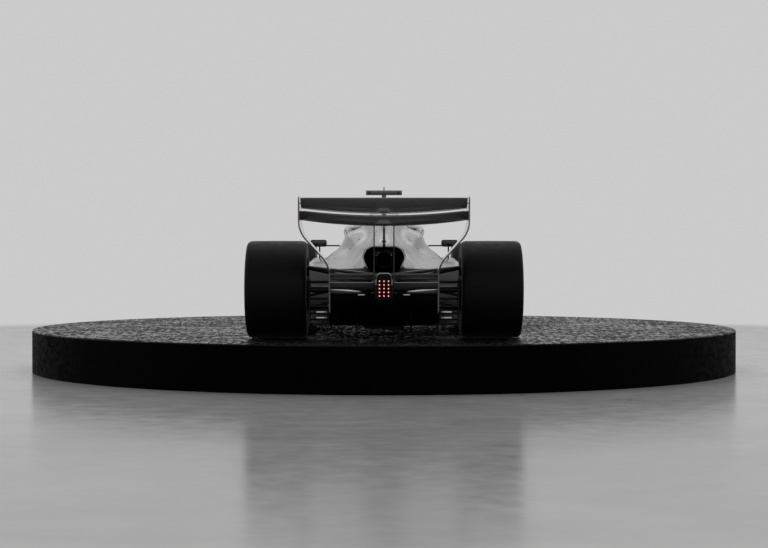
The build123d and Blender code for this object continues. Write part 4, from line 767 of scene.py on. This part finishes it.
# Seat harness: shoulder, lap and crotch belts with a turn buckle
SEAT_LINE = ((-0.030, 0.580), (0.262, 0.222), (0.606, 0.335))
BELT_THICK = 0.003
SHOULDER_Y = (-0.020, 0.02, 0.06, 0.10, 0.14, 0.18, 0.22, 0.245)
SHOULDER_X = 0.095
SHOULDER_TAPER = 0.20
SHOULDER_LIFT = 0.004
SHOULDER_WIDTH = 0.050
LAP = ((0.160, 0.250, 0.244), (0.110, 0.268, 0.252), (0.060, 0.276, 0.252), (0.022, 0.280, 0.250))
LAP_ACROSS = (0.0, 1.0, 0.15)
LAP_WIDTH = 0.046
CROTCH_Y = (0.285, 0.33, 0.38, 0.43)
CROTCH_LIFT = 0.006
CROTCH_WIDTH = 0.044
BUCKLE_AT = Vector((0.0, 0.278, level(0.246)))
BUCKLE_UP = (0.0, -0.35, 1.0)
BUCKLE = ((-0.004, 0.034), (0.006, 0.034), (0.010, 0.030), (0.011, 0.018), (0.009, 0.012))
BUCKLE_SIDES = 28
LUG = ((-0.002, 0.010), (0.006, 0.009), (0.008, 0.006))
LUG_COUNT = 6
LUG_SIDES = 12
LUG_CIRCLE = 0.033
LUG_LIFT = 0.002
LUG_TILT = 0.0116


def on_seat(x, y, lift):
    """Point above the seat's face at a place along the car."""
    (y0, z0), (y1, z1), (y2, z2) = SEAT_LINE
    if y < y1:
        z = z0 + (z1 - z0) * (y - y0) / (y1 - y0)
    else:
        z = z1 + (z2 - z1) * (y - y1) / (y2 - y1)
    return Vector((x, y, level(z) + lift))


belts = []
for sign in SIDES.values():
    line = [on_seat(sign * (SHOULDER_X - SHOULDER_TAPER * (y - SHOULDER_Y[0])), y, SHOULDER_LIFT) for y in SHOULDER_Y]
    belts.append(strap(line, RIGHT, SHOULDER_WIDTH, BELT_THICK))
    line = [Vector((sign * x, y, level(z))) for x, y, z in LAP]
    belts.append(strap(line, LAP_ACROSS, LAP_WIDTH, BELT_THICK))
belts.append(strap([on_seat(0.0, y, CROTCH_LIFT) for y in CROTCH_Y], RIGHT, CROTCH_WIDTH, BELT_THICK))
piece("harness_belts", joined(belts), BELT, "chassis", bevel=0.0006)
buckle = [lathe(BUCKLE, BUCKLE_AT, BUCKLE_UP, BUCKLE_SIDES)]
for k in range(LUG_COUNT):
    angle = 2.0 * math.pi * k / LUG_COUNT
    along = math.sin(angle)
    spot = BUCKLE_AT + Vector((LUG_CIRCLE * math.cos(angle), LUG_CIRCLE * along, LUG_LIFT + LUG_TILT * along))
    buckle.append(lathe(LUG, spot, BUCKLE_UP, LUG_SIDES))
piece("harness_buckle", joined(buckle), STEEL, "chassis")

# Headrest pads: crowned cushions along both sides and behind the helmet
PAD_LEVEL = level(0.7225)
PAD_CROWN = 0.010
PAD_PULL = 0.05
SIDE_PAD = (0.046, 0.340, 0.030)
SIDE_PAD_X = 0.194
SIDE_PAD_Y = 0.146
SIDE_PAD_CELLS = (6, 10)
REAR_PAD = (0.300, 0.062, 0.030)
REAR_PAD_Y = -0.066
REAR_PAD_CELLS = (10, 6)


def cushion(size, centre, cells):
    """Closed pad with rounded edges whose faces swell towards the middle."""
    sx, sy, sz = size
    nx, ny = cells
    verts, faces = [], []
    for layer in (-1, 1):
        for i in range(nx + 1):
            for j in range(ny + 1):
                u, v = 2.0 * i / nx - 1.0, 2.0 * j / ny - 1.0
                swell = (1.0 - u ** 4) * (1.0 - v ** 4)
                pull = 1.0 - PAD_PULL * swell
                verts.append(Vector((centre[0] + u * sx / 2 * pull, centre[1] + v * sy / 2 * pull,
                                     centre[2] + layer * (sz / 2 + PAD_CROWN * (swell - 1.0)))))
    plane = (nx + 1) * (ny + 1)
    for i in range(nx):
        for j in range(ny):
            a = i * (ny + 1) + j
            faces.append([a, a + 1, a + ny + 2, a + ny + 1])
            faces.append([plane + a, plane + a + ny + 1, plane + a + ny + 2, plane + a + 1])
    rim = list(range(ny + 1)) + [i * (ny + 1) + ny for i in range(1, nx + 1)]
    rim += [nx * (ny + 1) + j for j in range(ny - 1, -1, -1)] + [i * (ny + 1) for i in range(nx - 1, 0, -1)]
    for a, b in zip(rim, rim[1:] + rim[:1]):
        faces.append([a, b, plane + b, plane + a])
    return verts, faces


for side, sign in SIDES.items():
    pad = cushion(SIDE_PAD, (sign * SIDE_PAD_X, SIDE_PAD_Y, PAD_LEVEL), SIDE_PAD_CELLS)
    made = piece(f"headrest_pad_{side}", pad, PADDING, "chassis", smooth=1)
pad = cushion(REAR_PAD, (0.0, REAR_PAD_Y, PAD_LEVEL), REAR_PAD_CELLS)
made = piece("headrest_pad_rear", pad, PADDING, "chassis", smooth=1)

# Quick release fasteners along the panel joints and on the endplates
FASTENER = ((-0.0010, 0.0074), (0.0009, 0.0073), (0.0013, 0.0064), (0.0013, 0.0030), (0.0003, 0.0026))
FASTENER_SIDES = 14
# Rows seen from the side: node, distance to start from, slope of the line of sight, stations and levels
PANEL_ROWS = (
    ("engine_cover", 1.2, -0.35, (-0.61, -1.45), (0.74, 0.86, 0.98, 1.08)),
    ("safety_cell", 0.8, 0.0, (1.12, 1.60), (0.36, 0.44, 0.52)),
    ("nose_cone", 0.8, 0.0, (1.70, 2.18), (0.30, 0.36, 0.40)),
)
POD_ROW_X = (0.50, 0.44, 0.38)
POD_ROW_Y = (0.14, -0.65)
ENDPLATE_START = 1.3
ENDPLATE_PLACES = ((-2.21, 0.885), (-2.30, 0.895), (-2.40, 0.905), (-2.20, 0.43), (-2.26, 0.44), (-2.22, 0.36))


def fasteners(sights):
    """Heads seated where lines of sight, given as node, origin and direction, meet their nodes."""
    seats = [seat_on(*sight) for sight in sights]
    return joined(lathe(FASTENER, place, normal, FASTENER_SIDES) for place, normal in seats if place is not None)


panels, endplates = [], []
for owner, start, slope, stations, levels in PANEL_ROWS:
    panels += [(owner, (sign * start, y, level(z)), (-sign, 0.0, slope))
               for sign in SIDES.values() for y in stations for z in levels]
for side, sign in SIDES.items():
    panels += [("sidepod_" + side, (sign * x, y, CLEAR_ABOVE), DOWN) for x in POD_ROW_X for y in POD_ROW_Y]
    endplates += [("rear_endplate_" + side, (sign * ENDPLATE_START, y, level(z)), (-sign, 0.0, 0.0))
                  for y, z in ENDPLATE_PLACES]
piece("panel_fasteners", fasteners(panels), STEEL, "chassis")
piece("endplate_fasteners", fasteners(endplates), STEEL, "chassis")

# Lips on the flap's upper edge and on the main plane's rear edge, which is highest in the middle
FLAP_LIP = ((0.0, 0.0), (0.0, 0.0062), (0.0016, 0.0068), (0.0028, 0.0062), (0.0028, 0.0030), (0.0120, 0.0030),
            (0.0150, 0.0))
FLAP_LIP_HALF = 0.565
FLAP_LIP_INSET = 0.0004
FLAP_LIP_SINK = 0.0050
LIP_STATIONS = 33
LIP_HALF = 0.560
LIP_SEAT = 0.0014
LIP_ROOT = -0.0012
LIP_LEAST = 0.0042
LIP_CROWN = 0.0030
LIP_REAR = 0.0003
LIP_FRONT = 0.0024
flap_low, flap_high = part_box("rear_wing_flap")
flap_lip = slab(FLAP_LIP, lambda u, v, w: Vector((w - FLAP_LIP_HALF, flap_low[1] + FLAP_LIP_INSET + u,
                                                  flap_high[2] - FLAP_LIP_SINK + v)), 2 * FLAP_LIP_HALF)
piece("flap_lip", flap_lip, WING, "wing_flap")
main_edge_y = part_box("rear_wing_main")[0][1]
sections = []
for k in range(LIP_STATIONS):
    x = LIP_HALF * (2.0 * k / (LIP_STATIONS - 1) - 1.0)
    seat = seat_on("rear_wing_main", (x, main_edge_y + LIP_SEAT, CLEAR_ABOVE), DOWN)[0]
    top = LIP_LEAST + LIP_CROWN * (1.0 - (x / LIP_HALF) ** 2)
    corners = ((LIP_REAR, LIP_ROOT), (LIP_REAR, top), (LIP_FRONT, top), (LIP_FRONT, LIP_ROOT))
    sections.append([(x, main_edge_y + y, seat.z + z) for y, z in corners])
piece("main_plane_lip", skinned(sections), WING, "chassis")

# Painted highlights behind: bright metal strips on the diffuser's lips and on two winglets of each stack
DIFFUSER_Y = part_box("diffuser")[0][1]
LIP_PLATE = ((0.160, 0.3335), (0.386, 0.3335), (0.386, 0.3680), (0.300, 0.3665), (0.236, 0.3630), (0.160, 0.3530))
LIP_PLATE_DEPTH = 0.004
LIP_HIGHLIGHT = ((0.381, 0.3656), (0.300, 0.3645), (0.238, 0.3610), (0.165, 0.3510), (0.165, 0.3480), (0.238, 0.3505),
            (0.300, 0.3555), (0.381, 0.3616))
PAD_HIGHLIGHT = ((0.135, 0.3232), (0.183, 0.3232), (0.183, 0.3304), (0.135, 0.3304))
HIGHLIGHT_DEPTH = 0.0022
WINGLET_Y = -2.062
WINGLET_HIGHLIGHTS = (((0.409, 0.1910), (0.487, 0.1910), (0.487, 0.2020), (0.409, 0.2020)),
                 ((0.409, 0.1500), (0.487, 0.1500), (0.487, 0.1610), (0.409, 0.1610)))
WINGLET_DEPTH = 0.006
plates, edges = [], []
for sign in SIDES.values():
    place = upright(0.0, DIFFUSER_Y + LIP_PLATE_DEPTH, GROUND, BACKWARD, sign)
    plates.append(slab(LIP_PLATE, place, LIP_PLATE_DEPTH))
    place = upright(0.0, DIFFUSER_Y, GROUND, BACKWARD, sign)
    edges += [slab(outline, place, HIGHLIGHT_DEPTH) for outline in (LIP_HIGHLIGHT, PAD_HIGHLIGHT)]
    place = upright(0.0, WINGLET_Y, GROUND, BACKWARD, sign)
    edges += [slab(outline, place, WINGLET_DEPTH) for outline in WINGLET_HIGHLIGHTS]
piece("diffuser_lips", joined(plates), CARBON, "chassis", bevel=0.0006)
piece("painted_highlight_strips", joined(edges), PAINTED_HIGHLIGHT_METAL, "chassis", bevel=0.0006)

# Vanes beside the outlet and in the air inlet
VANE_BLADE = ((0.0, 0.0), (0.075, 0.0), (0.060, 0.016), (0.020, 0.023), (-0.004, 0.022))
VANE_FROM_X = 0.6
VANE_Y = -1.855
VANE_LEVEL = 0.640
VANE_ROOT = 0.003
VANE_SHIFT = -0.012
VANE_FALL = -0.10
VANE_DEPTH = 0.0035
INLET_VANE_OUTLINE = rounded(0.0050, 0.098, 0.0015, 2)
INLET_VANE_Y = -0.094
INLET_VANE_LEVEL = 0.876
INLET_VANE_DEPTH = 0.060
vanes = []
for sign in SIDES.values():
    seat, normal = seat_on("engine_cover", (sign * VANE_FROM_X, VANE_Y, level(VANE_LEVEL)), (-sign, 0.0, 0.0))
    root = seat + Vector((0.0, VANE_SHIFT, 0.0)) - normal * VANE_ROOT
    vanes.append(slab(VANE_BLADE, lambda u, v, w: root + Vector((0.0, u, VANE_FALL * u + w)) + normal * v, VANE_DEPTH))
piece("outlet_vanes", joined(vanes), CARBON, "chassis", bevel=0.0006)
vane = slab(INLET_VANE_OUTLINE, upright(0.0, INLET_VANE_Y, level(INLET_VANE_LEVEL), BACKWARD), INLET_VANE_DEPTH)
piece("airbox_vane", vane, CARBON, "chassis")

# Camera lenses, nose probe and wind deflector
LENS = ((-0.003, 0.0125), (0.0015, 0.0125), (0.0025, 0.0105), (0.0005, 0.0095), (0.0015, 0.0060), (0.0020, 0.0020))
LENS_X = 0.118
LENS_LEVEL = 1.117
LENS_SIDES = 24
PROBE_Y = 1.95
PROBE_SINK = 0.006
PROBE_LINE = ((0.0, 0.0), (0.006, 0.050), (0.016, 0.070), (0.032, 0.080), (0.055, 0.083), (0.120, 0.084))
PROBE_RADIUS = 0.0045
PROBE_FOOT = ((0.0, 0.014), (0.010, 0.012), (0.016, 0.006))
DEFLECTOR_STATIONS = 25
DEFLECTOR_SWEEP = math.radians(62.0)
DEFLECTOR_HALF = 0.190
DEFLECTOR_BOW = 0.125
DEFLECTOR_Y = 0.760
DEFLECTOR_LEAST = 0.006
DEFLECTOR_RISE = 0.034
DEFLECTOR_ROOT = -0.008
DEFLECTOR_LEAN = -0.5
DEFLECTOR_THICK = (0.0032, 0.0022)
DEFLECTOR_FOCUS = (0.6, 0.70)
camera_low, camera_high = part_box("camera_bar")
lenses = []
for sign in SIDES.values():
    for y, way in ((camera_high[1], FORWARD), (camera_low[1], BACKWARD)):
        lenses.append(lathe(LENS, (sign * LENS_X, y, level(LENS_LEVEL)), (0.0, way, 0.0), LENS_SIDES))
piece("camera_lenses", joined(lenses), SCREEN, "chassis")
foot = seat_on("nose_cone", (0.0, PROBE_Y, CLEAR_ABOVE), DOWN)[0] - Vector((0.0, 0.0, PROBE_SINK))
probe = [tube([foot + Vector((0.0, y, z)) for y, z in PROBE_LINE], PROBE_RADIUS, 12), lathe(PROBE_FOOT, foot, UP, 20)]
piece("nose_probe", joined(probe), STEEL, "chassis")
sections = []
for k in range(DEFLECTOR_STATIONS):
    angle = DEFLECTOR_SWEEP * (2.0 * k / (DEFLECTOR_STATIONS - 1) - 1.0)
    x = DEFLECTOR_HALF * math.sin(angle)
    y = DEFLECTOR_Y + DEFLECTOR_BOW * math.cos(angle)
    seat = seat_on("safety_cell", (x, y, CLEAR_ABOVE), DOWN)[0]
    rise = DEFLECTOR_LEAST + DEFLECTOR_RISE * math.sin(math.pi * (k + 1.5) / (DEFLECTOR_STATIONS + 2))
    share, focus = DEFLECTOR_FOCUS
    out = Vector((seat.x * share, seat.y - focus, 0.0)).normalized()
    root_thick, top_thick = DEFLECTOR_THICK
    lean = DEFLECTOR_LEAN * rise
    corners = ((0.0, DEFLECTOR_ROOT), (root_thick, DEFLECTOR_ROOT), (top_thick + lean, rise), (lean, rise))
    sections.append([seat + out * offset + Vector((0.0, 0.0, height)) for offset, height in corners])
piece("wind_deflector", skinned(sections), DEFLECTOR, "chassis")

# Stage: pale floor that fades into the backdrop, camera and soft lights
AMBIENT = 0.46
BACKGROUND = 0.60
OVERHEAD = 0.30
OVERHEAD_START = 0.25
OVERHEAD_END = 0.75
FLOOR_HALF = 60.0
FADE_START = 8.7
FADE_END = 10.2
IMAGE_WIDTH = 768
IMAGE_HEIGHT = 548
SENSOR = 36.0
FOCAL_PX = 1742.0
HORIZON_PX = 251.0
CAMERA_BACK = 14.59
CAMERA_ABOVE = 0.636
CAMERA_REACH = 200.0
# Lamps: name, place, target, size and power
LAMPS = (
    ("top_soft", (0.0, 1.0, 7.0), (0.0, 0.0, 0.5), (7.0, 6.0), 150.0),
    ("front_strip_0", (0.0, 6.6, 8.2), (0.0, 0.0, 0.8), (13.0, 0.9), 38.0),
    ("front_strip_1", (0.0, 8.8, 7.4), (0.0, 0.0, 0.8), (13.0, 0.9), 38.0),
    ("front_strip_2", (0.0, 10.6, 6.2), (0.0, 0.0, 0.8), (13.0, 0.9), 38.0),
    ("side_left", (-7.5, 0.0, 4.5), (0.0, -1.0, 0.8), (4.0, 3.0), 60.0),
    ("side_right", (7.5, 0.0, 4.5), (0.0, -1.0, 0.8), (4.0, 3.0), 60.0),
    ("back_fill", (0.0, -11.0, 6.0), (0.0, -1.0, 0.8), (8.0, 4.0), 60.0),
)


def seen_directly(tree):
    """One where a ray comes from the camera, a reflection or glass."""
    paths = node(tree, "ShaderNodeLightPath")
    through = maths(tree, "MAXIMUM", paths.outputs["Is Glossy Ray"], paths.outputs["Is Transmission Ray"])
    return maths(tree, "MAXIMUM", paths.outputs["Is Camera Ray"], through)


def eased(tree, value, start, end, low=0.0, high=1.0):
    """Smooth step of a value from low at start to high at end."""
    made = node(tree, "ShaderNodeMapRange", interpolation_type="SMOOTHSTEP", inputs={
        "From Min": start, "From Max": end, "To Min": low, "To Max": high})
    tree.links.new(value, made.inputs["Value"])
    return made.outputs["Result"]


def floor_finish(name):
    """Pale mottled floor that turns into the backdrop's plain light far from the plinth."""
    made, tree, shader = material(name)
    feed(tree, shader, ramp(tree, noise(tree, scale=1.4, detail=8.0, roughness=0.6), (0.3, 0.36), (0.7, 0.44)),
         ramp(tree, noise(tree, scale=6.0, detail=6.0, roughness=0.6), (0.3, 0.16), (0.7, 0.24)))
    distance = node(tree, "ShaderNodeVectorMath", operation="LENGTH")
    tree.links.new(coordinates(tree), distance.inputs[0])
    fade = eased(tree, distance.outputs["Value"], FADE_START, FADE_END)
    backdrop = node(tree, "ShaderNodeEmission", inputs={"Color": WHITE, "Strength": BACKGROUND})
    either = node(tree, "ShaderNodeMixShader")
    tree.links.new(maths(tree, "MULTIPLY", fade, seen_directly(tree)), either.inputs[0])
    tree.links.new(shader.outputs[0], either.inputs[1])
    tree.links.new(backdrop.outputs[0], either.inputs[2])
    tree.links.new(either.outputs[0], tree.nodes["Material Output"].inputs["Surface"])
    return made


corners = ((-1.0, -1.0), (1.0, -1.0), (1.0, 1.0), (-1.0, 1.0))
floor_mesh = bpy.data.meshes.new("studio_floor")
floor_mesh.from_pydata([(FLOOR_HALF * x, FLOOR_HALF * y, 0.0) for x, y in corners], [], [(0, 1, 2, 3)])
floor_mesh.materials.append(floor_finish("floor_finish"))
studio_floor = bpy.data.objects.new("studio_floor", floor_mesh)
bpy.context.scene.collection.objects.link(studio_floor)

camera_data = bpy.data.cameras.new("camera")
camera_data.sensor_width = SENSOR
camera_data.lens = SENSOR * FOCAL_PX / IMAGE_WIDTH
camera_data.clip_end = CAMERA_REACH
camera = bpy.data.objects.new("camera", camera_data)
camera.location = (0.0, -CAMERA_BACK, level(CAMERA_ABOVE))
pitch = math.atan2(IMAGE_HEIGHT / 2 - HORIZON_PX, FOCAL_PX)
camera.rotation_euler = (math.pi / 2 - pitch, 0.0, 0.0)
bpy.context.scene.collection.objects.link(camera)
bpy.context.scene.camera = camera

for name, place, target, size, power in LAMPS:
    data = bpy.data.lights.new(name, "AREA")
    data.shape = "RECTANGLE"
    data.size, data.size_y = size
    data.energy = power
    lamp = bpy.data.objects.new(name, data)
    lamp.location = place
    lamp.rotation_euler = (Vector(target) - Vector(place)).to_track_quat("-Z", "Y").to_euler()
    bpy.context.scene.collection.objects.link(lamp)

world = bpy.data.worlds.new("studio")
bpy.context.scene.world = world
world.use_nodes = True
sky = world.node_tree
direction = node(sky, "ShaderNodeSeparateXYZ")
sky.links.new(node(sky, "ShaderNodeTexCoord").outputs["Generated"], direction.inputs[0])
overhead = eased(sky, direction.outputs["Z"], OVERHEAD_START, OVERHEAD_END, BACKGROUND, OVERHEAD)
strength = node(sky, "ShaderNodeMapRange", inputs={"To Min": AMBIENT})
sky.links.new(overhead, strength.inputs["To Max"])
sky.links.new(seen_directly(sky), strength.inputs["Value"])
sky.links.new(strength.outputs["Result"], sky.nodes["Background"].inputs["Strength"])
sky.nodes["Background"].inputs["Color"].default_value = WHITE

bpy.context.scene.view_settings.view_transform = "Standard"
